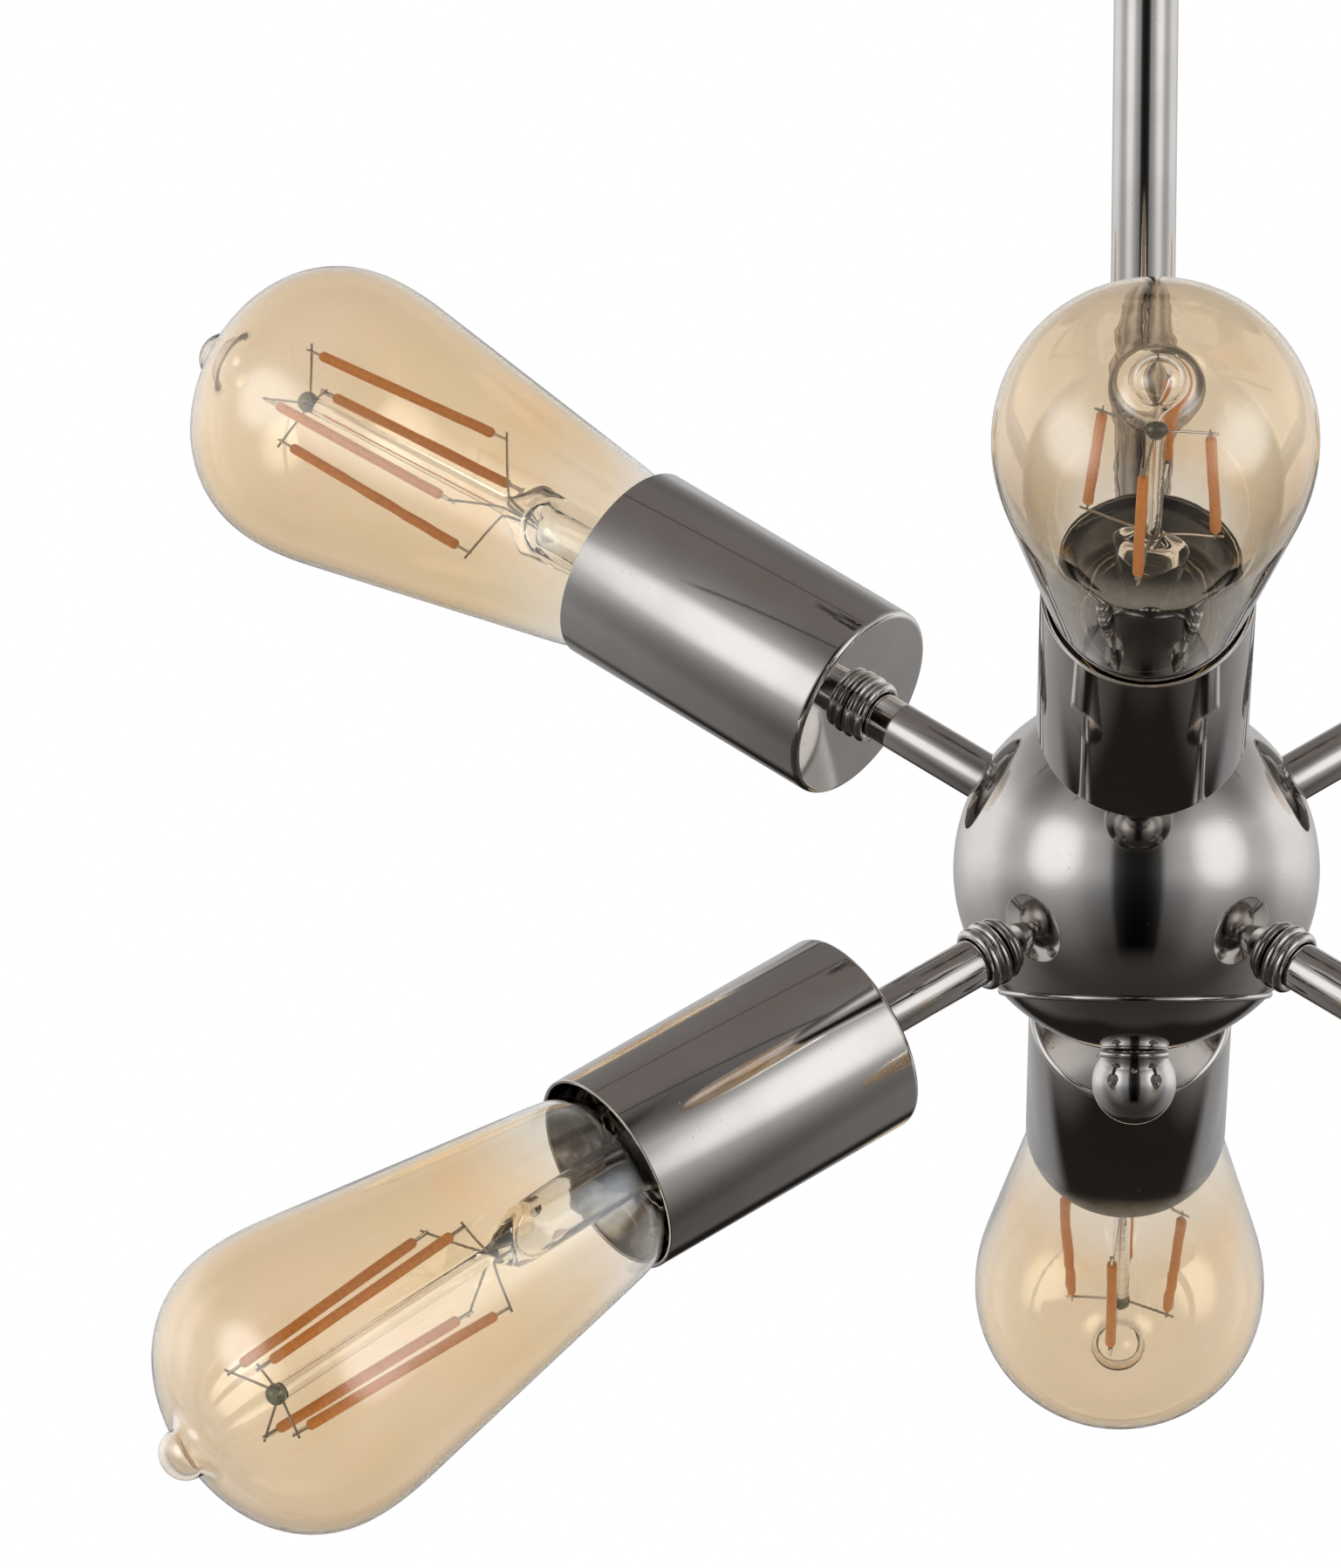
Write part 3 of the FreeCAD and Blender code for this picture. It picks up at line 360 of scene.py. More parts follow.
# ------------------------------------------------------------------ canopy and its ball nuts
# A turned brass canopy, polished and nickel plated, held up by two blind ball nuts.  Its floor
# meets its side in a small radius, and its rim is square against the ceiling.
NICKEL = (0.70, 0.675, 0.655)
NICKEL_SHADE = (0.61, 0.58, 0.555)
PIT_SPACING = 0.45      # per millimetre


def own_place(recipe):
    """A turned piece's own coordinates in millimetres, from before it was put in its place."""
    return recipe.node("ShaderNodeAttribute", {"attribute_name": "lathe"}, {}, "Vector")


def nickel_plate(recipe):
    place = own_place(recipe)
    x, y, z = recipe.split(place)
    cloud = recipe.noise(place, 0.07, 3.0)
    lines = recipe.noise(recipe.joined(x * 0.05, y * 0.05, z * 5.0), 1.0, 2.0)
    spread = {"Vector": place, "Scale": PIT_SPACING}
    cells = recipe.node("ShaderNodeTexVoronoi", {}, spread)
    red, _, _ = recipe.split(recipe.node("ShaderNodeTexVoronoi", {}, spread, "Color"))
    pits = cells.rising(0.16, 0.05) * red.rising(0.80, 0.82)
    bumps = recipe.node("ShaderNodeBump", {}, {
        "Strength": 0.35, "Distance": 0.00003, "Height": lines * 0.06 - pits})
    shade = cloud.rising(0.35, 0.65) * 0.5 + pits * 0.4
    return recipe.node("ShaderNodeBsdfPrincipled", {}, {
        "Base Color": recipe.mix(shade, NICKEL, NICKEL_SHADE),
        "Metallic": 1.0, "Roughness": 0.035 + 0.04 * cloud + 0.02 * lines + 0.12 * pits,
        "Normal": bumps})


nickel = painted("nickel_plate", nickel_plate)


class Turning:
    """A lathe profile in millimetres, drawn point by point as (radius, height along the axis)."""

    def __init__(self, radius, height):
        self.shape = bmesh.new()
        self.tip = self.shape.verts.new((radius, 0, height))
        self.first = self.tip
        self.corners = {}

    def to(self, radius, height, edge=0):
        """Straight on to a point, whose corner is eased by this much."""
        new = bmesh.ops.extrude_vert_indiv(self.shape, verts=[self.tip])["verts"][0]
        new.co = (radius, 0, height)
        self.tip = new
        if edge:
            self.corners.setdefault(edge, []).append(new)
        return self

    def sweep(self, radius, height, degrees, steps=16):
        """On round a centre; a positive angle turns from the axis' direction towards outside."""
        swept = bmesh.ops.spin(self.shape, geom=[self.tip], cent=(radius, 0, height),
                               axis=(0, 1, 0), angle=math.radians(degrees), steps=steps)
        self.tip = swept["geom_last"][0]
        return self

    def bulge(self, crown, height, steps=16):
        """A bead: an arc from here to the same radius at this height, out to the crown's radius."""
        start = self.tip.co.copy()
        half = (height - start.z) / 2
        sag = crown - start.x
        size = (half * half + sag * sag) / (2 * sag)
        turn = 2 * math.degrees(math.asin(half / size))
        if abs(sag) > abs(half):
            turn = math.copysign(360, turn) - turn
        return self.sweep(crown - size, start.z + half, -turn, steps)

    def flow(self, *points, steps=12):
        """Bezier curve from here: two handles and an end."""
        start = self.tip.co.copy()
        places = [Vector((radius, 0, height)) for radius, height in points]
        for place in interpolate_bezier(start, *places, steps + 1)[1:]:
            self.to(place.x, place.z)
        return self

    def turn(self, name, material, place, steps=96):
        """Ease the corners, close the profile, spin it and put the piece in its place."""
        shape = self.shape
        shape.edges.new((self.tip, self.first))
        for edge, corners in self.corners.items():
            bmesh.ops.bevel(shape, geom=corners, offset=edge, segments=3, profile=0.5,
                            affect="VERTICES", material=-1)
        bmesh.ops.spin(shape, geom=shape.verts[:] + shape.edges[:], cent=(0, 0, 0), axis=(0, 0, 1),
                       angle=2 * math.pi, steps=steps, use_merge=True)
        bmesh.ops.remove_doubles(shape, verts=shape.verts[:], dist=0.0005)
        bmesh.ops.recalc_face_normals(shape, faces=shape.faces[:])
        return finished(shape, name, material, place)


SHARP = math.radians(32)


def finished(shape, name, material, place):
    """A mesh in millimetres made an object in its place, keeping its own coordinates."""
    mesh = bpy.data.meshes.new(name)
    shape.to_mesh(mesh)
    shape.free()
    own = [component for vertex in mesh.vertices for component in vertex.co]
    mesh.attributes.new("lathe", "FLOAT_VECTOR", "POINT").data.foreach_set("vector", own)
    mesh.transform(place @ Matrix.Scale(0.001, 4))
    mesh.materials.append(material)
    for face in mesh.polygons:
        face.use_smooth = True
    mesh.set_sharp_from_angle(angle=SHARP)
    piece = bpy.data.objects.new(name, mesh)
    scene.collection.objects.link(piece)
    return piece


def at_height(z):
    """Place upright, at a height in millimetres."""
    return Matrix.Translation((0, 0, z / 1000))


def made_for(piece, body, slot, *names):
    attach(piece, body)
    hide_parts(*names)


CANOPY_RADIUS = 61.0
CANOPY_HEIGHT = 25.0
CANOPY_HOLE = 10.4
CANOPY_WALL = 1.0
CANOPY_EDGE = 3.0       # radius between floor and side
NUT_SIDE = 52.0         # from the middle to a ball nut
NUT_SEAT = -25.1
NUT_BORE = 2.15
NUT_SKIRT = 5.5
NUT_BALL = 4.5

edge_radius = CANOPY_RADIUS - CANOPY_EDGE
inner_radius = CANOPY_RADIUS - CANOPY_WALL
canopy = (Turning(CANOPY_HOLE, 0).to(edge_radius, 0).sweep(edge_radius, CANOPY_EDGE, -90)
          .to(CANOPY_RADIUS, CANOPY_HEIGHT, 0.3).to(inner_radius, CANOPY_HEIGHT, 0.3)
          .to(inner_radius, CANOPY_EDGE).sweep(edge_radius, CANOPY_EDGE, 90, 8)
          .to(CANOPY_HOLE, CANOPY_WALL, 0.2)
          .turn("canopy_shell", nickel, at_height(-CANOPY_HEIGHT), 128))
made_for(canopy, "canopy", "polished_nickel", "canopy")

for number, side in ((1, -NUT_SIDE), (2, NUT_SIDE)):
    place = Matrix.Translation((side / 1000, 0, NUT_SEAT / 1000))
    nut = (Turning(NUT_BORE, -0.1).to(NUT_SKIRT, -0.1, 0.3).to(NUT_SKIRT, -2.0, 0.4)
           .to(NUT_BALL, -2.3, 0.2).to(NUT_BALL, -8.0).sweep(0, -8.0, 90)
           .to(0, -9).to(NUT_BORE, -9)
           .turn("ball_nut_%d" % number, nickel, place, 48))
    made_for(nut, "cap_nut_%d" % number, "polished_nickel", "cap_nut_%d" % number)


# ------------------------------------------------------------------ swivel
# A turned sleeve on the nipple's ring, slotted into a fork, with two screws that the block tilts
# on.  All of it is brass, polished and plated like the rods.
def nickel_cast(recipe):
    place = in_millimetres(recipe)
    cloud = recipe.noise(place, 0.09, 3.0)
    grain = recipe.noise(place, 7.0, 2.0)
    bumps = recipe.node("ShaderNodeBump", {}, {
        "Strength": 0.1, "Distance": 0.00003, "Height": grain})
    return recipe.node("ShaderNodeBsdfPrincipled", {}, {
        "Base Color": recipe.mix(cloud.rising(0.35, 0.65) * 0.5, NICKEL, NICKEL_SHADE),
        "Metallic": 1.0, "Roughness": 0.10 + 0.08 * cloud, "Normal": bumps})


finish_nodes(painted("nickel_on_milled_parts", nickel_cast),
             "swivel_head", "pivot_screws", "swivel_block")


# ------------------------------------------------------------------ downrods and coupler
# Half-inch drawn brass tube in two lengths, joined by a sleeve with rounded rims over a hollow
# nipple.  The tube's ends are deburred.
ROD = 6.35
ROD_BORE = 5.0
UPPER_ROD = (-201.0, -49.0)
LOWER_ROD = (-508.0, -203.0)
COUPLER = 8.0
COUPLER_BORE = 6.45
COUPLER_HALF = 9.0
COUPLER_STOP = 1.0      # half of the ring inside that the rods' ends meet
COUPLER_EDGE = 1.2
COUPLER_HEIGHT = -202.0


def tube_between(name, foot, top):
    return (Turning(ROD_BORE, foot).to(ROD, foot, 0.25).to(ROD, top, 0.25).to(ROD_BORE, top)
            .turn(name, nickel, Matrix.Identity(4), 64))


upper_rod = tube_between("upper_rod", *UPPER_ROD)
made_for(upper_rod, "fixture", "polished_nickel", "rod_upper")
lower_rod = tube_between("lower_rod", *LOWER_ROD)
made_for(lower_rod, "fixture", "polished_nickel", "rod_lower")

edge_radius = COUPLER - COUPLER_EDGE
edge_height = COUPLER_HALF - COUPLER_EDGE
coupler = (Turning(COUPLER_BORE, -COUPLER_HALF).to(edge_radius, -COUPLER_HALF)
           .sweep(edge_radius, -edge_height, -90, 6).to(COUPLER, edge_height)
           .sweep(edge_radius, edge_height, -90, 6).to(COUPLER_BORE, COUPLER_HALF)
           .to(COUPLER_BORE, COUPLER_STOP).to(ROD_BORE, COUPLER_STOP)
           .to(ROD_BORE, -COUPLER_STOP).to(COUPLER_BORE, -COUPLER_STOP)
           .turn("coupler_sleeve", nickel, at_height(COUPLER_HEIGHT), 64))
made_for(coupler, "fixture", "polished_nickel", "rod_coupler")


# ------------------------------------------------------------------ ball, bowl and finial
# Two spinnings of thin brass: the ball, and a bowl with a rolled bead where it meets the ball.
# A turned finial with a beaded neck screws onto the stud and holds the bowl up.
BALL = 36.0
BALL_WALL = 1.5
SEAM = -24.3
SEAM_BEAD = 0.7
SEAM_PROUD = 0.45       # how far the bead stands out of the ball
BOWL_WALL = 1.2
BOWL_HOLE = 2.8
LIP_GAP = 0.3
LIP_RISE = 1.8
LIP_WALL = 1.0


def lift(radius, sphere=BALL):
    return math.sqrt(sphere * sphere - radius * radius)


def turn_angle(radius, height):
    """Degrees from the axis' top to a point of a sphere."""
    return math.degrees(math.atan2(radius, height))


shell_floor = SEAM + SEAM_BEAD
inside = BALL - BALL_WALL
outer_turn = turn_angle(lift(abs(shell_floor)), shell_floor) - turn_angle(ROD_BORE, lift(ROD_BORE))
inner_turn = (turn_angle(lift(abs(shell_floor), inside), shell_floor)
              - turn_angle(ROD_BORE, lift(ROD_BORE, inside)))
ball = (Turning(ROD_BORE, lift(ROD_BORE)).sweep(0, 0, outer_turn, 72)
        .to(lift(abs(shell_floor), inside), shell_floor).sweep(0, 0, -inner_turn, 40)
        .turn("ball", nickel, at_height(BALL_HEIGHT), 160))
made_for(ball, "fixture", "polished_nickel", "ball_shell")

bead_low = SEAM - SEAM_BEAD
seam_radius = lift(SEAM)
bead_middle = seam_radius + SEAM_PROUD - SEAM_BEAD
bowl_inside = BALL - BOWL_WALL
bowl_turn = turn_angle(lift(bead_low), bead_low) - turn_angle(BOWL_HOLE, -lift(BOWL_HOLE))
lip = lift(abs(shell_floor), inside) - LIP_GAP
lip_inside = lip - LIP_WALL
lip_top = shell_floor + LIP_RISE
lip_low = -lift(lip_inside, bowl_inside)
inner_bowl_turn = (turn_angle(lip_inside, lip_low)
                   - turn_angle(BOWL_HOLE, -lift(BOWL_HOLE, bowl_inside)))
bowl = (Turning(BOWL_HOLE, -lift(BOWL_HOLE)).sweep(0, 0, bowl_turn, 32)
        .to(bead_middle, bead_low).sweep(bead_middle, SEAM, -180, 12)
        .to(lip, shell_floor).to(lip, lip_top, 0.2).to(lip_inside, lip_top, 0.2)
        .to(lip_inside, lip_low).sweep(0, 0, -inner_bowl_turn, 20)
        .turn("bottom_bowl", nickel, at_height(BALL_HEIGHT), 160))
made_for(bowl, "bottom_cap", "polished_nickel", "bottom_cap")

FINIAL_TOP = -36.1
FINIAL_BEAD_TOP = -35.75      # it follows the bowl a little way up
FINIAL_NECK_FOOT = -37.05
FINIAL_MIDDLE = -42.0
FINIAL_BALL = 8.3
FINIAL_SEAT = 4.4
FINIAL_NECK = 6.2
FINIAL_BEAD = 6.85
FINIAL_BORE = 2.5
FINIAL_BORE_END = -46.1
finial_meet = lift(FINIAL_NECK_FOOT - FINIAL_MIDDLE, FINIAL_BALL)
finial_turn = 180 - turn_angle(finial_meet, FINIAL_NECK_FOOT - FINIAL_MIDDLE)
finial = (Turning(FINIAL_BORE, FINIAL_TOP).to(FINIAL_SEAT, FINIAL_TOP)
          .to(FINIAL_NECK, FINIAL_BEAD_TOP).bulge(FINIAL_BEAD, FINIAL_NECK_FOOT)
          .to(finial_meet, FINIAL_NECK_FOOT).sweep(0, FINIAL_MIDDLE, finial_turn, 40)
          .to(0, FINIAL_BORE_END).to(FINIAL_BORE, FINIAL_BORE_END)
          .turn("ball_finial", nickel, at_height(BALL_HEIGHT), 96))
made_for(finial, "finial", "polished_nickel", "finial")


# ------------------------------------------------------------------ wiring inside
# A white nylon junction block joins the leads: seven runs of insulated wire, all hidden.
def nylon(recipe):
    place = in_millimetres(recipe)
    mottle = recipe.noise(place, 0.5, 2.0)
    bumps = recipe.node("ShaderNodeBump", {}, {
        "Strength": 0.2, "Distance": 0.0001, "Height": mottle})
    return recipe.node("ShaderNodeBsdfPrincipled", {}, {
        "Base Color": recipe.mix(mottle, (0.72, 0.70, 0.64), (0.80, 0.79, 0.75)),
        "Roughness": 0.42 + 0.1 * mottle, "Normal": bumps})


finish_nodes(painted("moulded_nylon", nylon), "junction_block", "wire_leads")


# ------------------------------------------------------------------ arms
# Six drawn tubes with threaded ends.  Each has one turned ring of two beads, clamped against the
# cup on the arms that rise and against the ball on the arms that fall.
ARM_RISE = 26.0
TUBE = 4.9
SPIGOT = 4.0
TUBE_BORE = 2.7
TUBE_START = 35.787
SPIGOT_FOOT = 27.3      # inside the ball
SPIGOT_END = 78.1       # inside the lampholder
ARM_HOLE = 4.1
CUP_START = 70.2
RING_LENGTH = 4.7
RING_DEPTH = 3.7
RING_WAIST = 5.6
RING_BORE = 5.2
FOOT_BEAD = 6.8
FOOT_BEAD_END = 2.3
TOP_BEAD = 6.55


def arm_place(number):
    """From an arm's own axis, which starts at the ball's middle, to where the arm is."""
    rise = ARM_RISE if number % 2 else -ARM_RISE
    return (Matrix.Translation((0, 0, BALL_HEIGHT / 1000))
            @ Matrix.Rotation(math.radians(60 * (number - 1)), 4, "Z")
            @ Matrix.Rotation(math.radians(90 - rise), 4, "X"))


def along(number, distance):
    return arm_place(number) @ Matrix.Translation((0, 0, distance / 1000))


for number in range(1, 7):
    rising = number % 2 == 1
    start = TUBE_START if rising else TUBE_START + RING_DEPTH
    end = CUP_START - RING_DEPTH if rising else CUP_START
    tube = (Turning(TUBE_BORE, SPIGOT_FOOT).to(SPIGOT, SPIGOT_FOOT, 0.3).to(SPIGOT, start)
            .to(TUBE, start, 0.2).to(TUBE, end, 0.2).to(SPIGOT, end).to(SPIGOT, SPIGOT_END, 0.3)
            .to(TUBE_BORE, SPIGOT_END)
            .turn("arm_%d" % number, nickel, arm_place(number), 64))
    made_for(tube, "fixture", "polished_nickel", "arm_tube_%d" % number)
    turned_over = Matrix.Rotation(math.pi, 4, "X") if rising else Matrix.Identity(4)
    ring = (Turning(ARM_HOLE, 0).to(RING_WAIST, 0).bulge(FOOT_BEAD, FOOT_BEAD_END, 14)
            .bulge(TOP_BEAD, RING_LENGTH, 16).to(RING_BORE, RING_LENGTH, 0.1)
            .to(RING_BORE, RING_DEPTH).to(ARM_HOLE, RING_DEPTH)
            .turn("ring_%d" % number, nickel,
                  along(number, CUP_START if rising else TUBE_START) @ turned_over, 72))
    made_for(ring, "fixture", "polished_nickel", "check_rings")


# ------------------------------------------------------------------ cups
# Deep-drawn cups with a flat back, a small radius round it and a thin rim turned square, polished
# and nickel plated inside and out.
CUP = 20.4
CUP_DEPTH = 61.1
CUP_WALL = 0.8
CUP_BACK = 1.5
CUP_EDGE = 1.4

for number in range(1, 7):
    cup = (Turning(ARM_HOLE, 0).to(CUP - CUP_EDGE, 0).sweep(CUP - CUP_EDGE, CUP_EDGE, -90, 8)
           .to(CUP, CUP_DEPTH, 0.2).to(CUP - CUP_WALL, CUP_DEPTH, 0.2)
           .to(CUP - CUP_WALL, CUP_BACK, 0.6).to(ARM_HOLE, CUP_BACK)
           .turn("lamp_cup_%d" % number, nickel, along(number, CUP_START), 128))
    made_for(cup, "fixture", "polished_nickel", "cup_%d" % number)


# ------------------------------------------------------------------ lampholders
# Black moulded lampholders deep in the cups, lined with a brass screw shell, and a brass contact at
# the bottom.
def phenolic(recipe):
    place = own_place(recipe)
    mottle = recipe.noise(place, 0.8, 3.0)
    bumps = recipe.node("ShaderNodeBump", {}, {
        "Strength": 0.2, "Distance": 0.00005, "Height": mottle})
    return recipe.node("ShaderNodeBsdfPrincipled", {}, {
        "Base Color": recipe.mix(mottle, (0.014, 0.012, 0.011), (0.030, 0.026, 0.023)),
        "Roughness": 0.30 + 0.2 * mottle, "Normal": bumps})


def brass(recipe):
    place = own_place(recipe)
    stain = recipe.noise(place, 0.3, 3.0)
    return recipe.node("ShaderNodeBsdfPrincipled", {}, {
        "Base Color": recipe.mix(stain.rising(0.4, 0.7), (0.80, 0.58, 0.26), (0.55, 0.36, 0.16)),
        "Metallic": 1.0, "Roughness": 0.22 + 0.2 * stain})


black_moulding = painted("black_moulding", phenolic)
plain_brass = painted("plain_brass", brass)


def joined(name, *pieces):
    """Several meshes made one piece, each part with its own material."""
    shape = bmesh.new()
    materials = []
    for piece in pieces:
        have = len(shape.faces)
        shape.from_mesh(piece.data)
        shape.faces.ensure_lookup_table()
        for face in shape.faces[have:]:
            face.material_index = len(materials)
        materials.append(piece.data.materials[0])
        bpy.data.objects.remove(piece)
    mesh = bpy.data.meshes.new(name)
    shape.to_mesh(mesh)
    shape.free()
    for material in materials:
        mesh.materials.append(material)
    piece = bpy.data.objects.new(name, mesh)
    scene.collection.objects.link(piece)
    return piece


HOLDER_START = 75.3
HOLDER_FRONT = 118.3
HOLDER_FLOOR = 92.9
HOLDER = 17.5
HOLDER_BORE = 14.8
LINER_BORE = 14.4
LINER_CREST = 14.62
SCREW_HOLE = 1.9
SCREW_HOLE_END = 80.6
THREAD_PITCH = 3.63     # of a medium screw base
CONTACT = 4.5
CONTACT_RISE = 0.8

for number in range(1, 7):
    place = arm_place(number)
    moulding = (Turning(ARM_HOLE, HOLDER_START).to(HOLDER, HOLDER_START, 0.6)
                .to(HOLDER, HOLDER_FRONT, 0.8).to(HOLDER_BORE, HOLDER_FRONT, 0.4)
                .to(HOLDER_BORE, HOLDER_FLOOR).to(0, HOLDER_FLOOR).to(0, SCREW_HOLE_END)
                .to(SCREW_HOLE, SCREW_HOLE_END).to(SCREW_HOLE, SPIGOT_END).to(ARM_HOLE, SPIGOT_END)
                .turn("moulding", black_moulding, place, 64))
    liner = Turning(HOLDER_BORE, HOLDER_FLOOR)
    for k in range(6):
        low = HOLDER_FLOOR + 1.0 + THREAD_PITCH * k
        liner.to(HOLDER_BORE, low).bulge(LINER_CREST, low + THREAD_PITCH, 6)
    liner = (liner.to(HOLDER_BORE, HOLDER_FRONT - 0.8).to(LINER_BORE, HOLDER_FRONT - 0.8)
             .to(LINER_BORE, HOLDER_FLOOR).turn("liner", plain_brass, place, 64))
    contact = (Turning(0, HOLDER_FLOOR).to(CONTACT, HOLDER_FLOOR)
               .to(CONTACT, HOLDER_FLOOR + CONTACT_RISE, 0.2).to(0, HOLDER_FLOOR + CONTACT_RISE)
               .turn("contact", plain_brass, place, 32))
    holder = joined("holder_%d" % number, moulding, liner, contact)
    made_for(holder, "fixture", "holder_moulding", "lampholder_%d" % number)


# ------------------------------------------------------------------ lamps: glass
# Blown soda-lime envelopes tinted amber: a straight cone that swells to a full dome, with a small
# hollow nose where the glass was drawn off.  The neck is cemented into the screw base.
LAMP_TURNS = (-13, 75, 50, 10, 85, 53)
LAMP_DROOP = 3.0
ROCK_POINT = 116.8
ROCK_DEPTH = 14.5
NECK = 11.7
NECK_FOOT = -12.0
NECK_TOP = -9.0
WIDEST = (30.2, 75.5)
DOME = 26.0
DOME_FULLNESS = 2.25
NOSE_FOOT = 9.2
TIP_END = 109.0
GLASS_WALL = 0.8


def lamp_place(number):
    """From a lamp's own axis, which starts at the mouth of its cup, to where the lamp is."""
    return (along(number, ROCK_POINT) @ Matrix.Rotation(math.radians(LAMP_DROOP), 4, "X")
            @ Matrix.Translation((0, 0, ROCK_DEPTH / 1000))
            @ Matrix.Rotation(math.radians(LAMP_TURNS[number - 1]), 4, "Z"))


def amber_glass(recipe):
    place = own_place(recipe)
    x, y, z = recipe.split(place)
    # Drawn lengthwise, so its faint ripples run along the lamp; the sprayed tint is thin at the
    # neck, with a blush where it starts, and thins again over the crown.
    ripple = recipe.noise(recipe.joined(x * 0.16, y * 0.16, z * 0.012), 1.0, 2.0)
    cloud = recipe.noise(place, 0.035, 2.0)
    tint = z.rising(3.0, 26.0) * (1 - 0.35 * z.rising(84.0, 102.0))
    blush = z.rising(6.0, 22.0) * z.rising(50.0, 26.0) * cloud.rising(0.42, 0.62)
    amber_tone = recipe.mix(cloud.rising(0.35, 0.65), (0.915, 0.795, 0.615), (0.925, 0.795, 0.640))
    amber_tone = recipe.mix(blush * 0.8, amber_tone, (0.955, 0.76, 0.53))
    bumps = recipe.node("ShaderNodeBump", {}, {
        "Strength": 0.05, "Distance": 0.0003, "Height": ripple})
    return recipe.node("ShaderNodeBsdfPrincipled", {}, {
        "Base Color": recipe.mix(tint, (0.965, 0.935, 0.89), amber_tone),
        "Transmission Weight": 1.0, "IOR": 1.5, "Roughness": 0.0,
        "Coat Weight": 0.4, "Coat IOR": 1.8, "Coat Roughness": 0.03, "Normal": bumps})


amber = painted("amber_glass", amber_glass)


def dome_share(radius, widest):
    """How far up the dome it has this radius, as a share of its length."""
    return (1 - (radius / widest) ** DOME_FULLNESS) ** (1 / DOME_FULLNESS)


def over_dome(glass, widest, length, start, end, steps=26):
    """Along the dome from one share of its length to another."""
    first = math.asin(start)
    last = math.asin(end)
    for k in range(1, steps + 1):
        share = abs(math.sin(first + (last - first) * k / steps))
        glass.to(widest * (1 - share ** DOME_FULLNESS) ** (1 / DOME_FULLNESS),
                 WIDEST[1] + length * share)


def envelope():
    glass = (Turning(NECK, NECK_FOOT).to(NECK, NECK_TOP).flow((11.7, -5.5), (15.6, -3.4), (17.9, 0))
             .flow((18.9, 1.5), (19.6, 5.0), (20.4, 10.0), steps=6).to(29.1, 64.0)
             .flow((29.75, 68.0), (30.2, 71.5), WIDEST, steps=8))
    over_dome(glass, WIDEST[0], DOME, 0, dome_share(NOSE_FOOT, WIDEST[0]))
    # The nose: drawn out of the dome through a hollow shoulder, and rounded off.
    glass.flow((7.4, 101.05), (5.35, 102.2), (5.2, 104.2))
    glass.flow((5.1, 106.9), (3.0, TIP_END), (0, TIP_END))
    glass.to(0, 107.4).flow((2.4, 107.4), (4.0, 106.0), (4.1, 104.0))
    inner = WIDEST[0] - GLASS_WALL
    glass.flow((4.25, 101.5), (7.0, 100.29), (8.6, 99.98))
    over_dome(glass, inner, DOME - GLASS_WALL, dome_share(8.6, inner), 0)
    return (glass.flow((inner, 71.5), (28.95, 68.0), (28.3, 64.0), steps=8).to(19.6, 10.2)
            .flow((18.8, 5.2), (18.1, 1.8), (17.15, 0.35), steps=6)
            .flow((14.9, -2.9), (10.9, -5.2), (10.9, NECK_TOP)).to(10.9, NECK_FOOT))


for number in range(1, 7):
    glass = envelope().turn("envelope_%d" % number, amber, lamp_place(number), 128)
    made_for(glass, "lamp_%d" % number, "amber_glass", "lamp_glass_%d" % number)


# ------------------------------------------------------------------ lamps: screw base
# A rolled screw shell in nickel-plated brass, closed by black glass round a soldered contact.
def solder(recipe):
    place = own_place(recipe)
    dull = recipe.noise(place, 0.9, 3.0)
    return recipe.node("ShaderNodeBsdfPrincipled", {}, {
        "Base Color": recipe.mix(dull, (0.46, 0.46, 0.47), (0.62, 0.62, 0.63)), "Metallic": 1.0,
        "Roughness": 0.3 + 0.25 * dull})


tin = painted("solder_tin", solder)
BASE = 12.4
BASE_BORE = 11.9
BASE_CREST = 13.1
BASE_FOOT = -31.5
INSULATOR_END = -35.8

for number in range(1, 7):
    place = lamp_place(number)
    shell = Turning(BASE_BORE, BASE_FOOT).to(BASE, BASE_FOOT)
    for k in range(5):
        shell.bulge(BASE_CREST, BASE_FOOT + THREAD_PITCH * (k + 1), 8)
    shell = (shell.to(BASE, NECK_TOP, 0.2).to(BASE_BORE, NECK_TOP)
             .turn("shell", nickel, place, 64))
    glass = (Turning(0, BASE_FOOT).to(BASE, BASE_FOOT, 0.3).to(11.4, -33, 0.4)
             .to(5.5, INSULATOR_END).to(0, INSULATOR_END)
             .turn("insulator", black_moulding, place, 48))
    button = (Turning(0, -37).to(1.8, -36.8).to(3.4, -36.4).to(4.6, INSULATOR_END)
              .to(0, INSULATOR_END).turn("button", tin, place, 32))
    base = joined("screw_base_%d" % number, shell, glass, button)
    made_for(base, "lamp_%d" % number, "lamp_base_metal", "lamp_base_%d" % number)


# ------------------------------------------------------------------ lamps: stem
# Clear lead glass: a flared tube sealed into the neck, pressed flat round the wires, then drawn
# into a thin rod with a bead of darker, greenish glass on its end.
def clear_glass(recipe):
    place = own_place(recipe)
    ripple = recipe.noise(place, 0.45, 2.0)
    bumps = recipe.node("ShaderNodeBump", {}, {
        "Strength": 0.12, "Distance": 0.0003, "Height": ripple})
    return recipe.node("ShaderNodeBsdfPrincipled", {}, {
        "Base Color": (0.96, 0.965, 0.955), "Transmission Weight": 1.0, "IOR": 1.52,
        "Roughness": 0.01, "Normal": bumps})


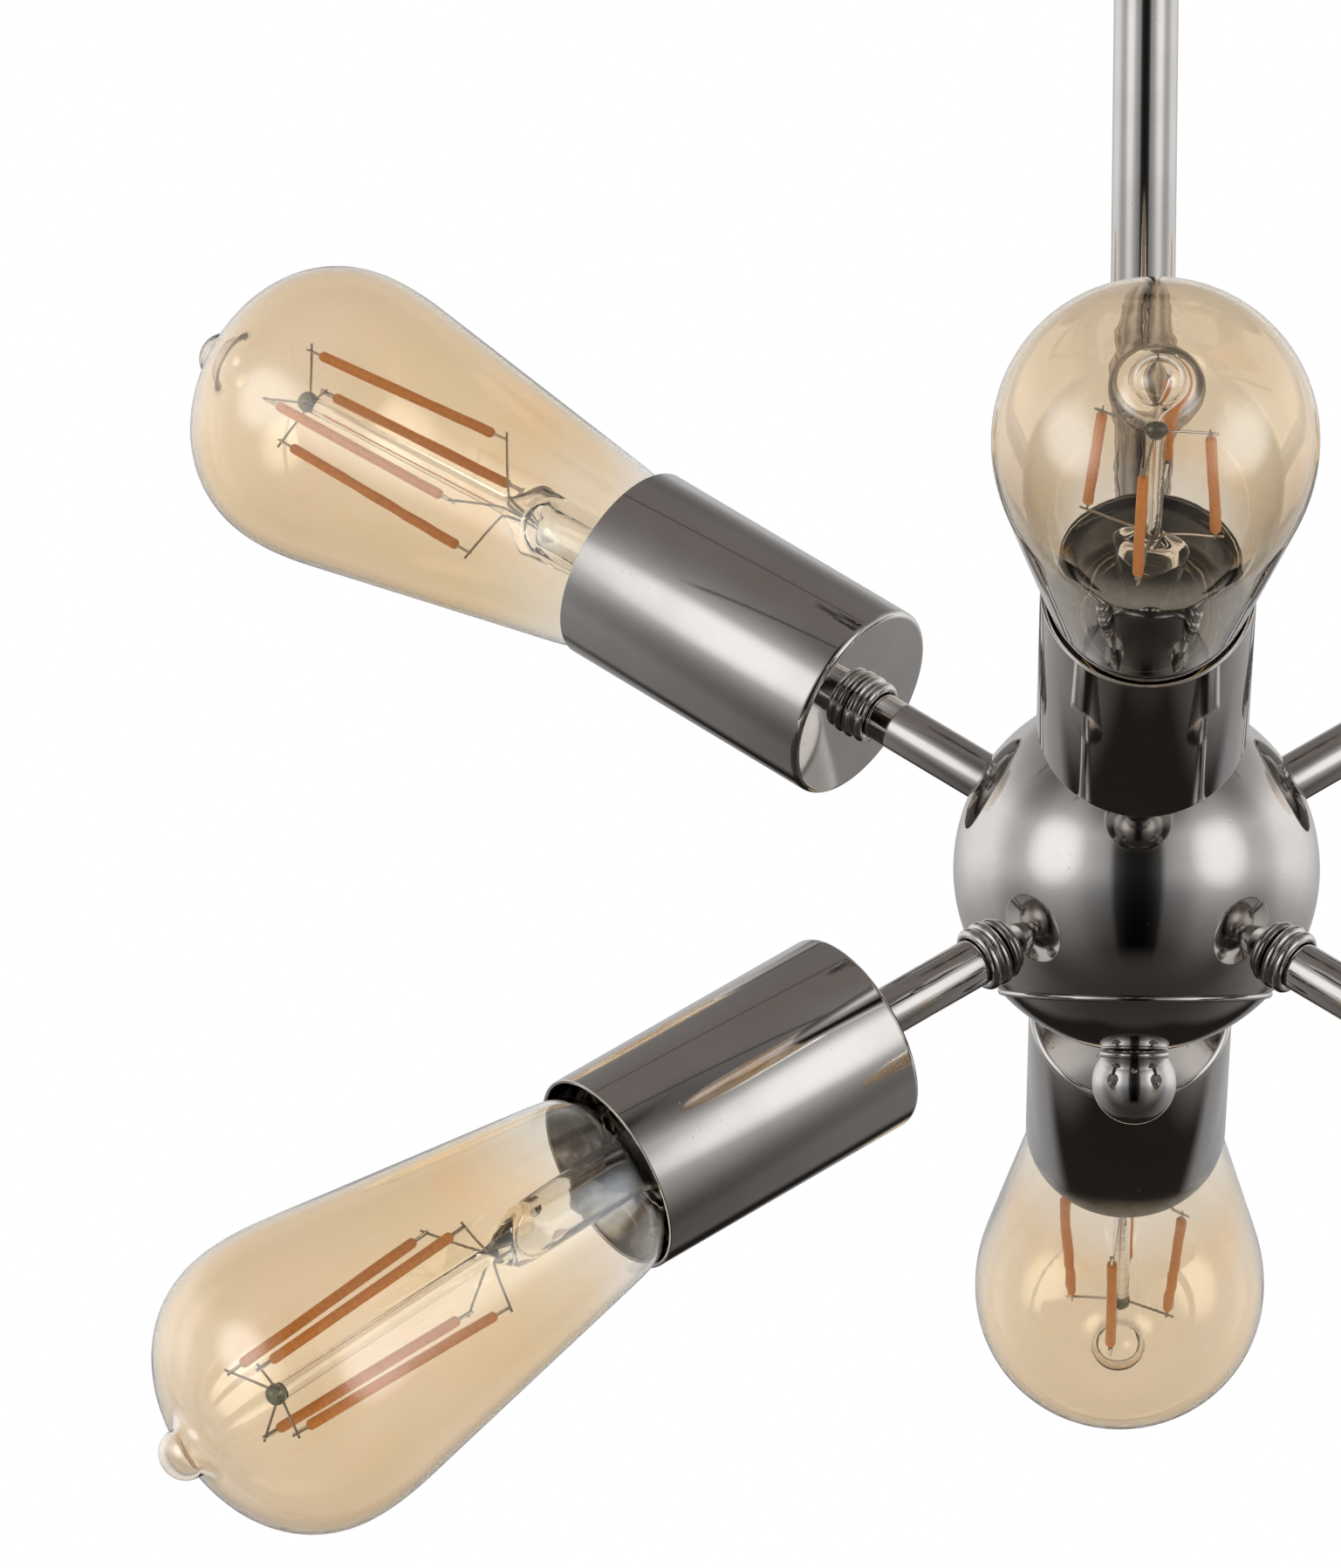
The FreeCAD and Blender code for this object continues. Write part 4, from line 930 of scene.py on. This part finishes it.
def dark_glass(recipe):
    place = own_place(recipe)
    ripple = recipe.noise(place, 0.8, 3.0)
    bumps = recipe.node("ShaderNodeBump", {}, {
        "Strength": 0.25, "Distance": 0.0003, "Height": ripple})
    return recipe.node("ShaderNodeBsdfPrincipled", {}, {
        "Base Color": recipe.mix(ripple, (0.20, 0.25, 0.23), (0.34, 0.39, 0.36)),
        "Transmission Weight": 0.6, "IOR": 1.52, "Roughness": 0.10, "Normal": bumps})


clear = painted("clear_stem_glass", clear_glass)
bead_glass = painted("bead_glass", dark_glass)
PRESS = (22.0, 30.0)
STEM = 6.0
STEM_BORE = 4.9
STEM_ROD = 1.8
STEM_NECK = 79.06
STEM_END = 80.4
BEAD_FOOT = 79.8
BEAD_END = 84.0
BEAD_FULLNESS = 2.9

for number in range(1, 7):
    stem = (Turning(10.2, NECK_FOOT).flow((8.4, -9.5), (STEM, -8.0), (STEM, -4.0), steps=8)
            .to(STEM, 21.0).flow((STEM, 24.0), (5.0, 24.5), (3.4, 27.0), steps=8)
            .flow((2.6, 28.5), (STEM_ROD, 29.0), (STEM_ROD, 31.0), steps=5)
            .to(STEM_ROD, STEM_NECK).to(STEM_ROD, STEM_END).to(0, STEM_END).to(0, 24.0)
            .flow((2.6, 23.5), (STEM_BORE, 21.5), (STEM_BORE, 17.0), steps=8).to(STEM_BORE, -4.0)
            .flow((STEM_BORE, -7.0), (7.3, -8.4), (9.1, NECK_FOOT), steps=8))
    # The press is flattened while the glass is hot: narrower one way and wider the other.
    piece = stem.turn("stem_%d" % number, clear, Matrix.Identity(4), 48)
    for vertex in piece.data.vertices:
        height = vertex.co.z * 1000
        if PRESS[0] - 4 < height < PRESS[1] + 2:
            press = math.sin(math.pi * (height - PRESS[0] + 4) / (PRESS[1] - PRESS[0] + 6))
            vertex.co.x *= 1 + 0.35 * press
            vertex.co.y *= 1 - 0.40 * press
    piece.data.transform(lamp_place(number))
    made_for(piece, "lamp_%d" % number, "lamp_core_glass", "lamp_core_%d" % number)
    bead = (Turning(0, BEAD_FOOT)
            .flow((BEAD_FULLNESS, BEAD_FOOT), (BEAD_FULLNESS, BEAD_END), (0, BEAD_END), steps=16)
            .turn("bead_%d" % number, bead_glass, lamp_place(number), 32))
    made_for(bead, "lamp_%d" % number, "lamp_core_glass", "lamp_core_%d" % number)


# ------------------------------------------------------------------ lamps: filaments
# Four rods of small chips under an orange silicone coat, leaning in a little towards the tip, with
# a flat metal tab at each end that the wires are welded to.
FILAMENT_START = 38.0
FILAMENT_END = 82.5
FILAMENT_WIDTH = 1.05
TAIL = 3.4
INNER_RADIUS = 12.4
OUTER_RADIUS = 10.2
LEAN = (OUTER_RADIUS - INNER_RADIUS) / (FILAMENT_END - FILAMENT_START)


def orange_coat(recipe):
    place = own_place(recipe)
    x, y, z = recipe.split(place)
    mottle = recipe.noise(place, 0.8, 3.0)
    chips = recipe.node("ShaderNodeMath", {"operation": "SINE"}, {0: z * 4.2})
    bumps = recipe.node("ShaderNodeBump", {}, {
        "Strength": 0.4, "Distance": 0.0001, "Height": chips * 0.5 + mottle})
    colour = recipe.mix(mottle.rising(0.35, 0.7), (0.98, 0.42, 0.11), (0.90, 0.36, 0.09))
    return recipe.node("ShaderNodeBsdfPrincipled", {}, {
        "Base Color": recipe.mix(chips.rising(0.6, 1.0) * 0.25, colour, (1.0, 0.54, 0.20)),
        "Roughness": 0.34 + 0.1 * mottle, "Normal": bumps})


def wire_metal(recipe):
    place = own_place(recipe)
    dull = recipe.noise(place, 1.3, 2.0)
    return recipe.node("ShaderNodeBsdfPrincipled", {}, {
        "Base Color": recipe.mix(dull, (0.42, 0.39, 0.36), (0.60, 0.57, 0.54)), "Metallic": 1.0,
        "Roughness": 0.28 + 0.2 * dull})


coat = painted("orange_silicone_coat", orange_coat)
wire = painted("nickel_wire", wire_metal)


def beside(number, quarter):
    """From a filament's own upright line, at its middle height, to where it is in its lamp."""
    middle = (FILAMENT_START + FILAMENT_END) / 2
    radius = (INNER_RADIUS + OUTER_RADIUS) / 2
    return (lamp_place(number) @ Matrix.Rotation(math.radians(90 * quarter), 4, "Z")
            @ Matrix.Translation((radius / 1000, 0, middle / 1000))
            @ Matrix.Rotation(math.atan(LEAN), 4, "Y"))


def tabs(place):
    """The flat tabs at both ends of a filament."""
    shape = bmesh.new()
    half = (FILAMENT_END - FILAMENT_START) / 2
    for end in (-1, 1):
        made = bmesh.ops.create_cube(shape, size=1)["verts"]
        bmesh.ops.scale(shape, vec=(0.35, 0.9, TAIL + 0.6), verts=made)
        bmesh.ops.translate(shape, vec=(0, 0, end * (half + TAIL / 2 - 0.3)), verts=made)
    bmesh.ops.bevel(shape, geom=shape.edges[:], offset=0.08, segments=1, profile=0.5,
                    affect="EDGES", material=-1)
    return finished(shape, "tabs", wire, place)


for number in range(1, 7):
    parts = []
    half = (FILAMENT_END - FILAMENT_START) / 2
    for quarter in range(4):
        place = beside(number, quarter)
        parts.append(Turning(0, -half).flow((0.6, -half), (FILAMENT_WIDTH, -half + 0.3),
                                            (FILAMENT_WIDTH, -half + 1.0), steps=6)
                     .to(FILAMENT_WIDTH, half - 1.0)
                     .flow((FILAMENT_WIDTH, half - 0.3), (0.6, half), (0, half), steps=6)
                     .turn("rod", coat, place, 20))
        parts.append(tabs(place))
    filaments = joined("filaments_%d" % number, *parts)
    made_for(filaments, "lamp_%d" % number, "lamp_core_glass", "lamp_core_%d" % number)


# ------------------------------------------------------------------ lamps: wires
# Thin nickel wires from the press out to the filaments' lower tabs, and from the bead out to their
# upper tabs, nearly straight, each welded across its tab and reaching a little past it.
WIRE = 0.27


def wires(number):
    curve = bpy.data.curves.new("wires", "CURVE")
    curve.dimensions = "3D"
    curve.bevel_depth = WIRE
    curve.bevel_resolution = 2
    curve.use_fill_caps = True
    draw = random.Random(100 + number)
    low_tab = FILAMENT_START - TAIL
    high_tab = FILAMENT_END + TAIL
    low_radius = INNER_RADIUS - LEAN * TAIL
    high_radius = OUTER_RADIUS + LEAN * TAIL
    for quarter in range(4):
        turn = math.radians(90 * quarter)
        sway = draw.uniform(-0.4, 0.4)
        routes = (
            ((0.9, 0, 24.5), (1.4, 0, 29.0), (2.2, 0, 30.8),
             (low_radius + 1.4, sway, low_tab + 0.9)),
            ((0.8, 0, 81.4), (1.8, 0, 81.9), (high_radius + 1.5, sway, high_tab - 0.5)))
        for route in routes:
            line = curve.splines.new("NURBS")
            line.points.add(len(route) - 1)
            for point, (x, y, z) in zip(line.points, route):
                point.co = (x * math.cos(turn) - y * math.sin(turn),
                            x * math.sin(turn) + y * math.cos(turn), z, 1)
            line.order_u = 3
            line.use_endpoint_u = True
    holder = bpy.data.objects.new("wires", curve)
    scene.collection.objects.link(holder)
    mesh = bpy.data.meshes.new_from_object(
        holder.evaluated_get(bpy.context.evaluated_depsgraph_get()))
    bpy.data.objects.remove(holder)
    shape = bmesh.new()
    shape.from_mesh(mesh)
    return finished(shape, "wires_%d" % number, wire, lamp_place(number))


for number in range(1, 7):
    made_for(wires(number), "lamp_%d" % number, "lamp_core_glass", "lamp_core_%d" % number)
